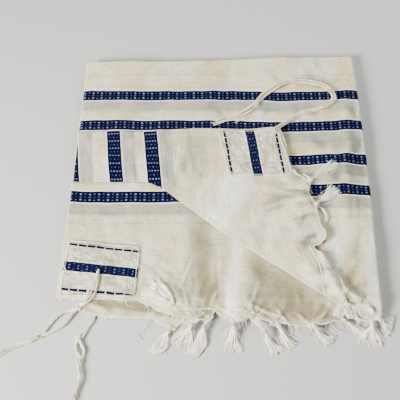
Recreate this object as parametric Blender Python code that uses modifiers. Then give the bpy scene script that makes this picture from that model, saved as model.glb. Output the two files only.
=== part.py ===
"""A tallit (fringed prayer shawl) folded into a flat pile of eight layers.

The shawl is one hand-woven sheet, folded in half across its width (fold at the
right) and in four along its length (fold at the far side), so its fringed ends
lie at the near side. The top layer's near left corner is turned up as a flap.

Tables give places in metres on the pile: x to the right of its near left
corner, y from its near edge to the far fold. PILE_CORNER moves them so that
the whole part, fringe and all, stands centred on the origin, with z = 0 below.
"""

import math
from collections import namedtuple

import bmesh
import bpy
from mathutils import Vector

COLLECTION = "tallit"

# Cloth and stack, in metres.
CLOTH_WALL = 0.0014
PATCH_WALL = 0.0010
SEAM_GAP = 0.0003
LAYER_PITCH = 0.0021
HIDDEN_HEIGHT = 0.0080
FLOOR_CLEARANCE = 0.0006
PILE_CORNER = Vector((-0.1859, -0.1432, 0.0))

# The five hidden layers, bottom first: how far each one's left and near edge stands in.
HiddenLayer = namedtuple("HiddenLayer", "left near")
HIDDEN_LAYERS = [
    HiddenLayer(0.0010, 0.0008),
    HiddenLayer(0.0000, 0.0022),
    HiddenLayer(0.0020, 0.0004),
    HiddenLayer(0.0006, 0.0016),
    HiddenLayer(0.0014, 0.0002),
]
HIDDEN_NEAR_Y = 0.0262
HIDDEN_SETBACK = 0.0100  # of the near edge where the upper layers droop over it
HIDDEN_SETBACK_START = 0.036
HIDDEN_SETBACK_RUN = 0.014
HIDDEN_GROOVE = 0.0014
HIDDEN_BAND = (0.0004, 0.0012)  # where a layer's edge face starts and ends, over its underside

HiddenSide = namedtuple("HiddenSide", "z right far")
# How far the hidden layers stand in from the pile's right and far outline, by height.
HIDDEN_SIDES = [
    HiddenSide(0.0000, 0.0050, 0.0020),
    HiddenSide(0.0012, 0.0045, 0.0006),
    HiddenSide(0.0028, 0.0036, 0.0002),
    HiddenSide(0.0044, 0.0032, 0.0006),
    HiddenSide(0.0060, 0.0042, 0.0020),
    HiddenSide(0.0064, 0.0048, 0.0050),
    HiddenSide(0.0080, 0.0066, 0.0054),
]
SIDE_STATIONS = (0.014, 0.2, 0.4, 0.6, 0.8, 0.986)
NEAR_STATIONS = (0.014, 0.066, 0.088, 0.108, 0.5, 0.986)
CORNER_INSET = 0.0020

# The near edge of the pile droops over the hidden layers to the table.
DROOP_START_Y = 0.024
DROOP_RUN = 0.028
DROOP_HEIGHT = 0.0076

# The top layer rolls over the pile's far and right edges, and round its own folds.
FAR_ROLL_RADIUS = 0.0032
RIGHT_ROLL_RADIUS = 0.0050
FAR_ROLL_FOOT = 0.0069
RIGHT_ROLL_FOOT = 0.0015
ROLL_END_ANGLE = math.radians(150)
TUCK_DEPTH = 0.045
TUCK_STEP = 0.007
TUCK_STATIONS = (0.0, 0.011, 0.023, 0.035, 0.0445, 0.0525, 0.066)  # metres in from the far edge
FLAP_STATIONS = (0.87, 0.75, 0.63, 0.51, 0.40, 0.30, 0.20, 0.10, 0.0)  # shares of the rest
TOP_STATIONS = 33
STATION_CROWDING = 1.3  # over 1 sets the sections closer together towards the hem

Section = namedtuple("Section", "fold_x fold_y tuck_x tuck_y edge_x edge_y")
# Sections of the top layer, from the pile's left edge to the hem. Each one runs from
# the flap's tucked far edge, round the fold, and over the pile to its outer edge.
TOP_SECTIONS = [
    Section(0.009, 0.235, 0.009, 0.336, 0.010, 0.503),
    Section(0.072, 0.235, 0.072, 0.336, 0.100, 0.506),
    Section(0.128, 0.234, 0.127, 0.336, 0.210, 0.508),
    Section(0.157, 0.221, 0.152, 0.338, 0.310, 0.511),
    Section(0.188, 0.195, 0.178, 0.341, 0.410, 0.516),
    Section(0.236, 0.155, 0.220, 0.344, 0.501, 0.518),
    Section(0.280, 0.120, 0.258, 0.344, 0.5055, 0.420),
    Section(0.320, 0.091, 0.296, 0.343, 0.505, 0.300),
    Section(0.360, 0.064, 0.326, 0.343, 0.503, 0.190),
    Section(0.400, 0.034, 0.346, 0.342, 0.499, 0.090),
    Section(0.439, 0.004, 0.358, 0.341, 0.497, -0.003),
]

HemWave = namedtuple("HemWave", "along out lift")
# The flap's hem, by share of its length from the fold: how far it stands out, and up.
FLAP_HEM_WAVES = [
    HemWave(0.00, 0.000, 0.0000),
    HemWave(0.08, 0.005, 0.0030),
    HemWave(0.16, -0.002, 0.0004),
    HemWave(0.25, 0.002, 0.0016),
    HemWave(0.34, -0.015, 0.0006),
    HemWave(0.43, 0.024, 0.0062),
    HemWave(0.53, 0.020, 0.0030),
    HemWave(0.64, 0.012, 0.0034),
    HemWave(0.74, 0.009, 0.0010),
    HemWave(0.82, -0.003, 0.0018),
    HemWave(0.92, 0.002, 0.0000),
    HemWave(1.00, 0.000, 0.0000),
]
FLAP_WAVE_REACH = 0.22
FLAP_LIFT_REACH = 0.080
TOP_HEM_BULGE = -0.011

# The left outline of the pile, and where the layers under the top one end.
LEFT_OUTLINE = [(0.026, 0.0013), (0.091, 0.0026), (0.193, 0.0058), (0.348, 0.0080), (0.503, 0.0100)]
PANEL_FAR_INSET = 0.0075
PANEL_RIGHT_INSET = 0.0078
THIRD_LEFT_INSET = 0.006
THIRD_SHAPE_END = 0.022
HEM_SHAPE_REACH = 0.05
FINE_START = 0.130
FINE_STEP = 0.0078
FINE_COLUMNS = 41
WELD_DISTANCE = 1e-6

HemPoint = namedtuple("HemPoint", "x y lift")
SECOND_HEM = [
    HemPoint(0.0006, 0.0277, 0.0000),
    HemPoint(0.0360, 0.0243, 0.0004),
    HemPoint(0.0790, 0.0243, 0.0000),
    HemPoint(0.1050, 0.0210, 0.0008),
    HemPoint(0.1200, 0.0240, 0.0002),
    HemPoint(0.1437, 0.0144, 0.0022),
    HemPoint(0.1590, 0.0045, 0.0010),
    HemPoint(0.1776, -0.0020, 0.0044),
    HemPoint(0.1970, -0.0053, 0.0008),
    HemPoint(0.2120, -0.0085, 0.0034),
    HemPoint(0.2275, -0.0070, 0.0008),
    HemPoint(0.2428, 0.0050, 0.0040),
    HemPoint(0.2578, -0.0053, 0.0006),
    HemPoint(0.2800, -0.0118, 0.0048),
    HemPoint(0.2970, -0.0053, 0.0008),
    HemPoint(0.3330, -0.0118, 0.0026),
    HemPoint(0.3700, -0.0166, 0.0006),
    HemPoint(0.4000, -0.0160, 0.0022),
    HemPoint(0.4400, -0.0060, 0.0004),
    HemPoint(0.4885, -0.0040, 0.0000),
]
THIRD_HEM = [
    HemPoint(0.0418, 0.0046, 0.0000),
    HemPoint(0.0834, -0.0020, 0.0002),
    HemPoint(0.1440, -0.0020, 0.0000),
    HemPoint(0.1670, -0.0150, 0.0004),
    HemPoint(0.1780, -0.0215, 0.0012),
    HemPoint(0.1930, -0.0117, 0.0002),
    HemPoint(0.2400, 0.0020, 0.0000),
    HemPoint(0.4880, 0.0020, 0.0000),
]
HEM_WAVE_REACH = 0.045

SoftFold = namedtuple("SoftFold", "x y turn length width height")
# Soft ridges of the second layer, which the top layer inherits. turn is in degrees from +x.
SECOND_FOLDS = [
    SoftFold(0.274, 0.036, 84, 0.110, 0.017, 0.0046),
    SoftFold(0.185, 0.030, -56, 0.085, 0.0070, 0.0026),
    SoftFold(0.158, 0.050, -48, 0.080, 0.0060, 0.0018),
    SoftFold(0.232, 0.032, 66, 0.060, 0.0070, 0.0024),
    SoftFold(0.150, 0.090, -32, 0.070, 0.010, 0.0012),
    SoftFold(0.345, 0.020, 74, 0.050, 0.010, 0.0018),
]
TOP_FOLDS = [
    SoftFold(0.245, 0.430, 88, 0.150, 0.008, 0.0014),
    SoftFold(0.470, 0.060, 62, 0.150, 0.013, 0.0026),
    SoftFold(0.452, 0.130, 48, 0.120, 0.012, 0.0018),
    SoftFold(0.484, 0.012, 30, 0.040, 0.008, 0.0016),
    SoftFold(0.330, 0.468, 4, 0.180, 0.012, 0.0012),
]
FLAP_FOLDS = [
    SoftFold(0.345, 0.170, 12, 0.110, 0.012, 0.0028),
    SoftFold(0.350, 0.215, -14, 0.080, 0.007, 0.0020),
    SoftFold(0.285, 0.200, 52, 0.120, 0.020, 0.0022),
    SoftFold(0.185, 0.285, 80, 0.080, 0.012, 0.0012),
    SoftFold(0.380, 0.090, -62, 0.110, 0.012, 0.0026),
]

Corner = namedtuple("Corner", "x y")
# Near left, near right, far right and far left corner of each patch.
SECOND_PATCH = [
    Corner(0.0040, 0.0273),
    Corner(0.1207, 0.0256),
    Corner(0.1260, 0.1140),
    Corner(0.0106, 0.1250),
]
FLAP_PATCH = [
    Corner(0.2670, 0.2450),
    Corner(0.3770, 0.2450),
    Corner(0.3570, 0.3370),
    Corner(0.2500, 0.3400),
]
PATCH_CELLS = (9, 7)

Tassel = namedtuple("Tassel", "hem root tip_x tip_y spread")
# Fringe tassels. root is x along the second, third or top hem, the share of the flap's
# hem from its fold, or, for the one that lies on the second layer, its own place.
TASSELS = [
    Tassel("third", 0.1763, 0.1519, -0.0640, 0.018),
    Tassel("second", 0.2120, 0.1890, -0.0510, 0.024),
    Tassel("second", 0.2335, 0.2097, -0.0628, 0.014),
    Tassel("second", 0.2713, 0.2676, -0.0560, 0.022),
    Tassel("second", 0.3030, 0.3326, -0.0582, 0.018),
    Tassel("second", 0.3350, 0.3569, -0.0520, 0.014),
    Tassel("second", 0.3876, 0.4131, -0.0450, 0.016),
    Tassel("second", 0.4340, 0.4560, -0.0390, 0.016),
    Tassel("top", 0.4745, 0.4737, -0.0520, 0.022),
    Tassel("top", 0.4860, 0.5040, -0.0340, 0.014),
    Tassel("on_second", (0.1640, 0.0290), 0.1370, 0.0440, 0.018),
    Tassel("flap", 0.740, 0.4476, 0.2707, 0.020),
    Tassel("flap", 0.610, 0.4500, 0.2263, 0.020),
    Tassel("flap", 0.170, 0.4710, 0.0560, 0.016),
    Tassel("flap", 0.040, 0.4760, 0.0200, 0.014),
]
TASSEL_HEAD = Vector((0.0080, 0.0085, 0.0046))  # length, width, height
TASSEL_CELLS = (4, 2)
LOCK_THICKNESS = 0.0013
LOCK_ROW_STEP = 0.0021
LOCK_REACH = (0.90, 1.00, 0.84, 0.96, 1.00, 0.88, 0.98, 0.82)
LOCK_SHIFT = (0.00, 0.10, -0.06, 0.04, 0.08, -0.10, 0.06, -0.04)

Spot = namedtuple("Spot", "on x y rise")
# Strands pass through spots: the piece they lie on there, and how far they clear it.
Knot = namedtuple("Knot", "at ahead front back thickness")
TZITZIT_SECOND_CORDS = Knot(
    Spot("table", 0.0361, 0.0130, 0.0034),
    Corner(0.0290, -0.0050),
    [
        [
            Spot("table", 0.0262, 0.0040, 0.0016),
            Spot("table", 0.0159, -0.0125, 0.0001),
            Spot("table", -0.0002, -0.0237, 0.0001),
            Spot("table", -0.0165, -0.0312, 0.0001),
        ],
        [
            Spot("table", 0.0230, 0.0090, 0.0018),
            Spot("table", 0.0118, 0.0062, 0.0004),
            Spot("table", 0.0022, -0.0016, 0.0001),
            Spot("table", -0.0068, -0.0132, 0.0001),
            Spot("table", -0.0158, -0.0282, 0.0001),
        ],
    ],
    [
        [
            Spot("table", 0.0400, 0.0205, 0.0138),
            Spot("second_patch", 0.0450, 0.0330, 0.0004),
            Spot("second_patch", 0.0560, 0.0520, 0.0002),
            Spot("second_patch", 0.0625, 0.0700, 0.0002),
        ],
        [
            Spot("table", 0.0360, 0.0215, 0.0138),
            Spot("second_patch", 0.0405, 0.0345, 0.0004),
            Spot("second_patch", 0.0510, 0.0535, 0.0002),
            Spot("second_patch", 0.0590, 0.0712, 0.0002),
        ],
    ],
    0.0022,
)
TZITZIT_SECOND_ENDS = Knot(
    Spot("table", -0.0206, -0.0330, 0.0012),
    Corner(-0.0426, -0.0450),
    [
        [
            Spot("table", -0.0420, -0.0480, 0.0),
            Spot("table", -0.0600, -0.0600, 0.0),
            Spot("table", -0.0780, -0.0760, 0.0),
            Spot("table", -0.1010, -0.0870, 0.0),
        ],
        [
            Spot("table", -0.0420, -0.0450, 0.0),
            Spot("table", -0.0593, -0.0560, 0.0),
            Spot("table", -0.0800, -0.0690, 0.0),
            Spot("table", -0.1050, -0.0810, 0.0),
            Spot("table", -0.1300, -0.0960, 0.0),
        ],
        [
            Spot("table", -0.0430, -0.0418, 0.0),
            Spot("table", -0.0610, -0.0520, 0.0),
            Spot("table", -0.0820, -0.0635, 0.0),
            Spot("table", -0.1060, -0.0750, 0.0),
            Spot("table", -0.1379, -0.0872, 0.0),
        ],
        [
            Spot("table", -0.0430, -0.0385, 0.0),
            Spot("table", -0.0630, -0.0475, 0.0),
            Spot("table", -0.0850, -0.0580, 0.0),
            Spot("table", -0.1120, -0.0690, 0.0),
            Spot("table", -0.1350, -0.0810, 0.0),
        ],
        [
            Spot("table", -0.0430, -0.0350, 0.0),
            Spot("table", -0.0650, -0.0425, 0.0),
            Spot("table", -0.0880, -0.0500, 0.0),
            Spot("table", -0.1150, -0.0600, 0.0),
        ],
    ],
    [],
    0.0014,
)
TZITZIT_THIRD_CORDS = Knot(
    Spot("table", 0.0380, -0.0360, 0.0010),
    Corner(0.0400, -0.0580),
    [
        [
            Spot("table", 0.0440, -0.0460, 0.0),
            Spot("table", 0.0480, -0.0540, 0.0),
            Spot("table", 0.0475, -0.0630, 0.0),
        ],
        [
            Spot("table", 0.0350, -0.0460, 0.0),
            Spot("table", 0.0365, -0.0545, 0.0),
            Spot("table", 0.0420, -0.0630, 0.0),
        ],
    ],
    [
        [
            Spot("table", 0.0500, -0.0240, 0.0001),
            Spot("table", 0.0570, -0.0120, 0.0006),
            Spot("third", 0.0600, -0.0040, 0.0002),
            Spot("third", 0.0610, 0.0060, -0.0002),
        ],
    ],
    0.0020,
)
TZITZIT_THIRD_ENDS = Knot(
    Spot("table", 0.0447, -0.0674, 0.0012),
    Corner(0.0441, -0.0900),
    [
        [
            Spot("table", 0.0510, -0.0900, 0.0),
            Spot("table", 0.0480, -0.1270, 0.0),
            Spot("table", 0.0560, -0.1680, 0.0),
            Spot("table", 0.0760, -0.2050, 0.0),
            Spot("table", 0.1010, -0.2250, 0.0),
        ],
        [
            Spot("table", 0.0478, -0.0900, 0.0),
            Spot("table", 0.0446, -0.1270, 0.0),
            Spot("table", 0.0505, -0.1690, 0.0),
            Spot("table", 0.0690, -0.2080, 0.0),
            Spot("table", 0.0930, -0.2320, 0.0),
        ],
        [
            Spot("table", 0.0446, -0.0900, 0.0),
            Spot("table", 0.0412, -0.1270, 0.0),
            Spot("table", 0.0455, -0.1700, 0.0),
            Spot("table", 0.0630, -0.2110, 0.0),
            Spot("table", 0.0890, -0.2382, 0.0),
        ],
        [
            Spot("table", 0.0414, -0.0900, 0.0),
            Spot("table", 0.0378, -0.1270, 0.0),
            Spot("table", 0.0400, -0.1720, 0.0),
            Spot("table", 0.0560, -0.2150, 0.0),
            Spot("table", 0.0730, -0.2350, 0.0),
        ],
        [
            Spot("table", 0.0380, -0.0900, 0.0),
            Spot("table", 0.0342, -0.1270, 0.0),
            Spot("table", 0.0345, -0.1720, 0.0),
            Spot("table", 0.0480, -0.2160, 0.0),
        ],
    ],
    [],
    0.0014,
)
TZITZIT_FLAP = Knot(
    Spot("top", 0.4319, 0.3900, 0.0010),
    Corner(0.4500, 0.4010),
    [
        [
            Spot("top", 0.4490, 0.3935, 0.0),
            Spot("top", 0.4620, 0.4080, 0.0),
            Spot("top", 0.4570, 0.4290, 0.0),
            Spot("top", 0.4400, 0.4460, 0.0),
            Spot("top", 0.4075, 0.4520, 0.0),
            Spot("top", 0.3800, 0.4510, 0.0),
            Spot("top", 0.3520, 0.4370, 0.0),
            Spot("top", 0.3255, 0.4130, 0.0),
            Spot("top", 0.3120, 0.3930, 0.0),
            Spot("top", 0.2900, 0.3780, 0.0),
            Spot("top", 0.2630, 0.3710, 0.0),
            Spot("top", 0.2384, 0.3580, 0.0),
        ],
        [
            Spot("top", 0.4455, 0.4010, 0.0),
            Spot("top", 0.4540, 0.4120, 0.0),
            Spot("top", 0.4490, 0.4270, 0.0),
            Spot("top", 0.4360, 0.4395, 0.0),
            Spot("top", 0.4075, 0.4458, 0.0),
            Spot("top", 0.3830, 0.4450, 0.0),
            Spot("top", 0.3570, 0.4310, 0.0),
            Spot("top", 0.3320, 0.4080, 0.0),
            Spot("top", 0.3200, 0.3850, 0.0),
            Spot("top", 0.3000, 0.3660, 0.0),
            Spot("top", 0.2780, 0.3570, 0.0),
        ],
    ],
    [
        [
            Spot("top", 0.4060, 0.3800, 0.0),
            Spot("top", 0.3765, 0.3576, 0.0016),
            Spot("flap_patch", 0.3480, 0.3285, 0.0030),
        ],
        [
            Spot("top", 0.4020, 0.3850, 0.0),
            Spot("top", 0.3690, 0.3600, 0.0016),
            Spot("flap_patch", 0.3400, 0.3320, 0.0030),
        ],
    ],
    0.0018,
)
HEAD_RINGS = ((0.0, 0.55), (0.30, 1.0), (0.65, 1.05), (1.0, 0.85))  # along the knot, scale
HEAD_CLEARANCE = 0.0008
LOCK_SAG = 0.7
SEAT_STEPS = 3
SEAT_GAP = 0.0003
FLAP_SEAT_GAP = 0.0009
LOCK_ROW_FAN = 0.12
PATCH_GAP = 0.0006
KNOT_LENGTH = 0.0070
KNOT_HEIGHT = 0.0040
CELL_WIDTH = 0.0034

CLOTH_COLOR = (0.80, 0.78, 0.72, 1.0)
FRINGE_COLOR = (0.86, 0.83, 0.76, 1.0)
PATCH_COLOR = (0.77, 0.75, 0.68, 1.0)
CLOTH_ROUGHNESS = 0.9


def clear_scene():
    for obj in list(bpy.data.objects):
        bpy.data.objects.remove(obj, do_unlink=True)


def new_collection(name):
    found = bpy.data.collections.new(name)
    bpy.context.scene.collection.children.link(found)
    return found


def cloth_material(name, color):
    material = bpy.data.materials.new(name)
    material.use_nodes = True
    shader = material.node_tree.nodes["Principled BSDF"]
    shader.inputs["Base Color"].default_value = color
    shader.inputs["Roughness"].default_value = CLOTH_ROUGHNESS
    shader.inputs["Metallic"].default_value = 0.0
    return material


def add_object(name, bm, material, collection):
    """Makes the bmesh an object whose mesh lies where the part stands."""
    bmesh.ops.recalc_face_normals(bm, faces=bm.faces)
    mesh = bpy.data.meshes.new(name)
    bm.to_mesh(mesh)
    bm.free()
    mesh.shade_smooth()
    mesh.materials.append(material)
    obj = bpy.data.objects.new(name, mesh)
    obj.location = PILE_CORNER
    collection.objects.link(obj)
    return obj


def ease(share):
    share = min(max(share, 0.0), 1.0)
    return share * share * (3 - 2 * share)


def curve_through(rows, share):
    """The point at this share of a smooth curve through the rows of a table."""
    spans = len(rows) - 1
    index = min(int(share * spans), spans - 1)
    t = share * spans - index
    before, first = rows[max(index - 1, 0)], rows[index]
    second, after = rows[index + 1], rows[min(index + 2, spans)]
    return [
        0.5 * (2 * b + (c - a) * t + (2 * a - 5 * b + 4 * c - d) * t**2 + (3 * b - a - 3 * c + d) * t**3)
        for a, b, c, d in zip(before, first, second, after)
    ]


def row_at(rows, key):
    """The table's values at this value of its first column, smoothly between rows."""
    if key <= rows[0][0]:
        return rows[0]
    for low, high in zip(rows, rows[1:]):
        if key <= high[0]:
            share = ease((key - low[0]) / (high[0] - low[0]))
            return [a + (b - a) * share for a, b in zip(low, high)]
    return rows[-1]


def fold_height(folds, x, y):
    """The summed height of the soft ridges at a place on the pile."""
    total = 0.0
    for fold in folds:
        angle = math.radians(fold.turn)
        along = (x - fold.x) * math.cos(angle) + (y - fold.y) * math.sin(angle)
        across = (y - fold.y) * math.cos(angle) - (x - fold.x) * math.sin(angle)
        ends = math.exp(-((2 * along / fold.length) ** 4))
        total += fold.height * math.exp(-((across / fold.width) ** 2)) * ends
    return total


def third_height(x, y):
    """Height of the third layer's middle over the table."""
    flat = HIDDEN_HEIGHT + SEAM_GAP + CLOTH_WALL / 2
    return flat - DROOP_HEIGHT * ease((DROOP_START_Y - y) / DROOP_RUN)


def second_height(x, y):
    hem_y = row_at(SECOND_HEM, x)[1]
    near_hem = math.exp(-(((y - hem_y) / HEM_WAVE_REACH) ** 2))
    ripple = row_at(SECOND_HEM, x)[2] * near_hem
    return third_height(x, y) + LAYER_PITCH + ripple + fold_height(SECOND_FOLDS, x, y)


def top_height(x, y):
    return second_height(x, y) + LAYER_PITCH + fold_height(TOP_FOLDS, x, y)


def flap_far_edge(x):
    far = [(section.tuck_x, section.tuck_y) for section in TOP_SECTIONS]
    return row_at(far, x)[1]


def flap_hem_lift(x, y):
    """How far the flap's wavy hem stands up at a place near it."""
    hem = TOP_SECTIONS[-1]
    share = (y - hem.fold_y) / (hem.tuck_y - hem.fold_y)
    hem_x = hem.fold_x + (hem.tuck_x - hem.fold_x) * share
    return row_at(FLAP_HEM_WAVES, share)[2] * ease(1 - (hem_x - x) / FLAP_LIFT_REACH)


def flap_height(x, y):
    """Height of the flap, which is a layer higher where its selvedge is tucked under it."""
    inner_end = flap_far_edge(x) - TUCK_DEPTH - TUCK_STEP
    tucked = LAYER_PITCH * ease((y - inner_end) / TUCK_STEP)
    lift = tucked + flap_hem_lift(x, y) + fold_height(FLAP_FOLDS, x, y)
    return top_height(x, y) + LAYER_PITCH + lift


def turned(direction, angle):
    return Vector((
        direction.x * math.cos(angle) - direction.y * math.sin(angle),
        direction.x * math.sin(angle) + direction.y * math.cos(angle),
    ))


def half_roll(centre, outward, top, bottom, steps):
    """Points of a fold's half circle, from its top run to its bottom run, ends left out."""
    radius = (top - bottom) / 2
    points = []
    for step in range(1, steps):
        angle = math.pi * step / steps
        spot = centre + outward * radius * math.sin(angle)
        points.append((spot.x, spot.y, (top + bottom) / 2 + radius * math.cos(angle)))
    return points


def edge_roll(edge, outward, radius, foot, steps):
    """The points that take the top layer down over the pile's edge, towards its foot."""
    start = edge - outward * radius
    top = top_height(start.x, start.y)
    middle, half = (top + foot) / 2, (top - foot) / 2
    points = []
    for step in range(steps + 1):
        angle = ROLL_END_ANGLE * step / steps
        spot = start + outward * radius * math.sin(angle)
        points.append((spot.x, spot.y, middle + half * math.cos(angle)))
    return points


def top_row(share):
    """The top layer's section values at this share of the way from left edge to hem."""
    return Section(*curve_through(TOP_SECTIONS, share))


def outward_at(share, x_column, y_column):
    """The unit normal, away from the cloth, of one of the sections' three edge lines."""
    step = 0.01
    low, high = top_row(max(share - step, 0.0)), top_row(min(share + step, 1.0))
    run_x = getattr(high, x_column) - getattr(low, x_column)
    run_y = getattr(high, y_column) - getattr(low, y_column)
    return Vector((run_x, run_y)).normalized()


def flap_spot(share, start, end, t):
    """A place on the flap, t of the way from its fold to its far edge."""
    wave_out = row_at(FLAP_HEM_WAVES, t)[1]
    strength = ease(1 - (1 - share) / FLAP_WAVE_REACH)
    return start.lerp(end, t) + Vector((wave_out * strength, 0.0))


def top_section(share):
    """One section of the top layer: tuck, far roll, flap, fold, top face, edge roll."""
    section = top_row(share)
    fold_out = turned(outward_at(share, "fold_x", "fold_y"), -math.pi / 2)
    tuck_out = turned(outward_at(share, "tuck_x", "tuck_y"), math.pi / 2)
    edge_out = turned(outward_at(share, "edge_x", "edge_y"), math.pi / 2)
    half_pitch = LAYER_PITCH / 2
    fold_start = Vector((section.fold_x, section.fold_y)) - fold_out * half_pitch
    tuck_start = Vector((section.tuck_x, section.tuck_y)) - tuck_out * half_pitch
    inward = (fold_start - tuck_start).normalized()
    tuck_end = tuck_start + inward * TUCK_DEPTH

    points = []
    for t in (1.0, 0.5, 0.0):
        spot = tuck_start.lerp(tuck_end, t)
        points.append((spot.x, spot.y, top_height(spot.x, spot.y) + LAYER_PITCH))
    upper = flap_height(tuck_start.x, tuck_start.y)
    lower = top_height(tuck_start.x, tuck_start.y) + LAYER_PITCH
    points += half_roll(tuck_start, tuck_out, upper, lower, 4)[::-1]
    span = (tuck_start - fold_start).length
    plain = 1 - TUCK_STATIONS[-1] / span
    shares = [1 - depth / span for depth in TUCK_STATIONS] + [plain * u for u in FLAP_STATIONS]
    for t in shares:
        spot = flap_spot(share, fold_start, tuck_start, t)
        points.append((spot.x, spot.y, flap_height(spot.x, spot.y)))
    upper = flap_height(fold_start.x, fold_start.y)
    lower = top_height(fold_start.x, fold_start.y)
    points += half_roll(fold_start, fold_out, upper, lower, 4)

    turn = ease(abs(edge_out.x))
    radius = FAR_ROLL_RADIUS + (RIGHT_ROLL_RADIUS - FAR_ROLL_RADIUS) * turn
    foot = FAR_ROLL_FOOT + (RIGHT_ROLL_FOOT - FAR_ROLL_FOOT) * turn
    edge = Vector((section.edge_x, section.edge_y))
    roll = edge_roll(edge, edge_out, radius, foot, 5)
    roll_start = Vector(roll[0][:2])
    bulge = TOP_HEM_BULGE * ease(1 - (1 - share) / 0.12)
    for t in (0.0, 0.06, 0.14, 0.24, 0.36, 0.48, 0.60, 0.72, 0.83, 0.93):
        spot = fold_start.lerp(roll_start, t) + Vector((0.0, bulge * math.sin(math.pi * t)))
        points.append((spot.x, spot.y, top_height(spot.x, spot.y)))
    return points + roll


def sheet(columns):
    """An open grid whose columns of points are given."""
    bm = bmesh.new()
    across, along = len(columns) - 1, len(columns[0]) - 1
    bmesh.ops.create_grid(bm, x_segments=across, y_segments=along, size=0.5)
    bm.verts.ensure_lookup_table()
    for vert in bm.verts:
        column = round((vert.co.x + 0.5) * across)
        row = round((vert.co.y + 0.5) * along)
        vert.co = columns[column][row]
    return bm


def add_wall(obj, thickness):
    wall = obj.modifiers.new("wall", "SOLIDIFY")
    wall.thickness = thickness
    wall.offset = 0.0


def make_top_layer(material, collection):
    steps = [station / (TOP_STATIONS - 1) for station in range(TOP_STATIONS)]
    sections = [top_section(1 - (1 - step) ** STATION_CROWDING) for step in steps]
    obj = add_object("top_layer", sheet(sections), material, collection)
    add_wall(obj, CLOTH_WALL)


def pile_right(y):
    edge = sorted((section.edge_y, section.edge_x) for section in TOP_SECTIONS[5:])
    return row_at(edge, y)[1]


def pile_far(x):
    return row_at([(section.edge_x, section.edge_y) for section in TOP_SECTIONS[:6]], x)[1]


def pile_left(y):
    return row_at(LEFT_OUTLINE, y)[1]


def panel_columns(hem, left_inset, shape_end, rows, column_xs, height):
    """A full panel's points, from its hem to the far fold, over the layer below.

    Its sides keep the hem's shape up to shape_end, then ease into the pile's outline.
    """
    columns = []
    for x in column_xs:
        hem_y = row_at(hem, x)[1]
        far_y = pile_far(x) - PANEL_FAR_INSET
        side = (x - hem[0].x) / (hem[-1].x - hem[0].x)
        column = []
        for share in rows:
            y = hem_y + (far_y - hem_y) * share
            left_x = pile_left(y) + left_inset
            straight_x = left_x + (pile_right(y) - PANEL_RIGHT_INSET - left_x) * side
            spot_x = x + (straight_x - x) * ease((y - shape_end) / HEM_SHAPE_REACH)
            column.append((spot_x, y, height(spot_x, y)))
        columns.append(column)
    return columns


def make_second_layer(material, collection):
    fine = [FINE_START + FINE_STEP * step for step in range(FINE_COLUMNS)]
    column_xs = [SECOND_HEM[0].x, 0.030, 0.060, 0.085, 0.098, 0.110, 0.120] + fine + [0.468, SECOND_HEM[-1].x]
    rows = (0.0, 0.014, 0.03, 0.05, 0.075, 0.105, 0.14, 0.19, 0.25, 0.34, 0.50, 0.75, 1.0)
    columns = panel_columns(SECOND_HEM, 0.0, 0.0, rows, column_xs, second_height)
    obj = add_object("second_layer", sheet(columns), material, collection)
    add_wall(obj, CLOTH_WALL)


def make_third_layer(material, collection):
    column_xs = [0.0626, 0.1137, 0.155, 0.1855, 0.215, 0.32, 0.40]
    column_xs = sorted(column_xs + [point.x for point in THIRD_HEM])
    rows = (0.0, 0.012, 0.025, 0.038, 0.052, 0.068, 0.085, 0.12, 0.25, 0.50, 1.0)
    columns = panel_columns(
        THIRD_HEM, THIRD_LEFT_INSET, THIRD_SHAPE_END, rows, column_xs, third_height
    )
    obj = add_object("third_layer", sheet(columns), material, collection)
    add_wall(obj, CLOTH_WALL)


def hidden_ring(z, left, near):
    """The hidden layers' outline at one height, anticlockwise from the near left corner."""
    _, right, far = row_at(HIDDEN_SIDES, z)
    near_y = HIDDEN_NEAR_Y + near
    far_left = pile_far(0.0) - far
    far_right = pile_far(pile_right(far_left)) - far
    low_left, high_left = pile_left(near_y) + left, pile_left(far_left) + left
    low_right, high_right = pile_right(near_y) - right, pile_right(far_right) - right

    ring = [(low_left + CORNER_INSET, near_y + CORNER_INSET, z)]
    for share in NEAR_STATIONS:
        x = low_left + (low_right - low_left) * share
        setback = HIDDEN_SETBACK * ease((x - HIDDEN_SETBACK_START) / HIDDEN_SETBACK_RUN)
        ring.append((x, near_y + setback, z))
    ring.append((low_right - CORNER_INSET, near_y + HIDDEN_SETBACK + CORNER_INSET, z))
    for share in SIDE_STATIONS:
        y = near_y + HIDDEN_SETBACK + (far_right - near_y - HIDDEN_SETBACK) * share
        ring.append((pile_right(y) - right, y, z))
    ring.append((high_right - CORNER_INSET, far_right - CORNER_INSET, z))
    for share in SIDE_STATIONS:
        x = high_right + (high_left - high_right) * share
        ring.append((x, pile_far(x) - far, z))
    ring.append((high_left + CORNER_INSET, far_left - CORNER_INSET, z))
    for share in SIDE_STATIONS:
        y = far_left + (near_y - far_left) * share
        ring.append((pile_left(y) + left, y, z))
    return ring + ring[:1]


def make_hidden_layers(material, collection):
    rings = []
    pitch = HIDDEN_HEIGHT / len(HIDDEN_LAYERS)
    for index, layer in enumerate(HIDDEN_LAYERS):
        base = index * pitch
        groove = HIDDEN_GROOVE if index else 0.0
        rings.append(hidden_ring(base, layer.left + groove, layer.near + groove))
        for rise in HIDDEN_BAND:
            rings.append(hidden_ring(base + rise, layer.left, layer.near))
    rings.append(hidden_ring(HIDDEN_HEIGHT, HIDDEN_LAYERS[-1].left, HIDDEN_LAYERS[-1].near))
    bm = sheet(rings)
    bmesh.ops.remove_doubles(bm, verts=bm.verts, dist=WELD_DISTANCE)
    open_edges = [edge for edge in bm.edges if edge.is_boundary]
    bmesh.ops.holes_fill(bm, edges=open_edges, sides=0)
    add_object("hidden_layers", bm, material, collection)


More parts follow.
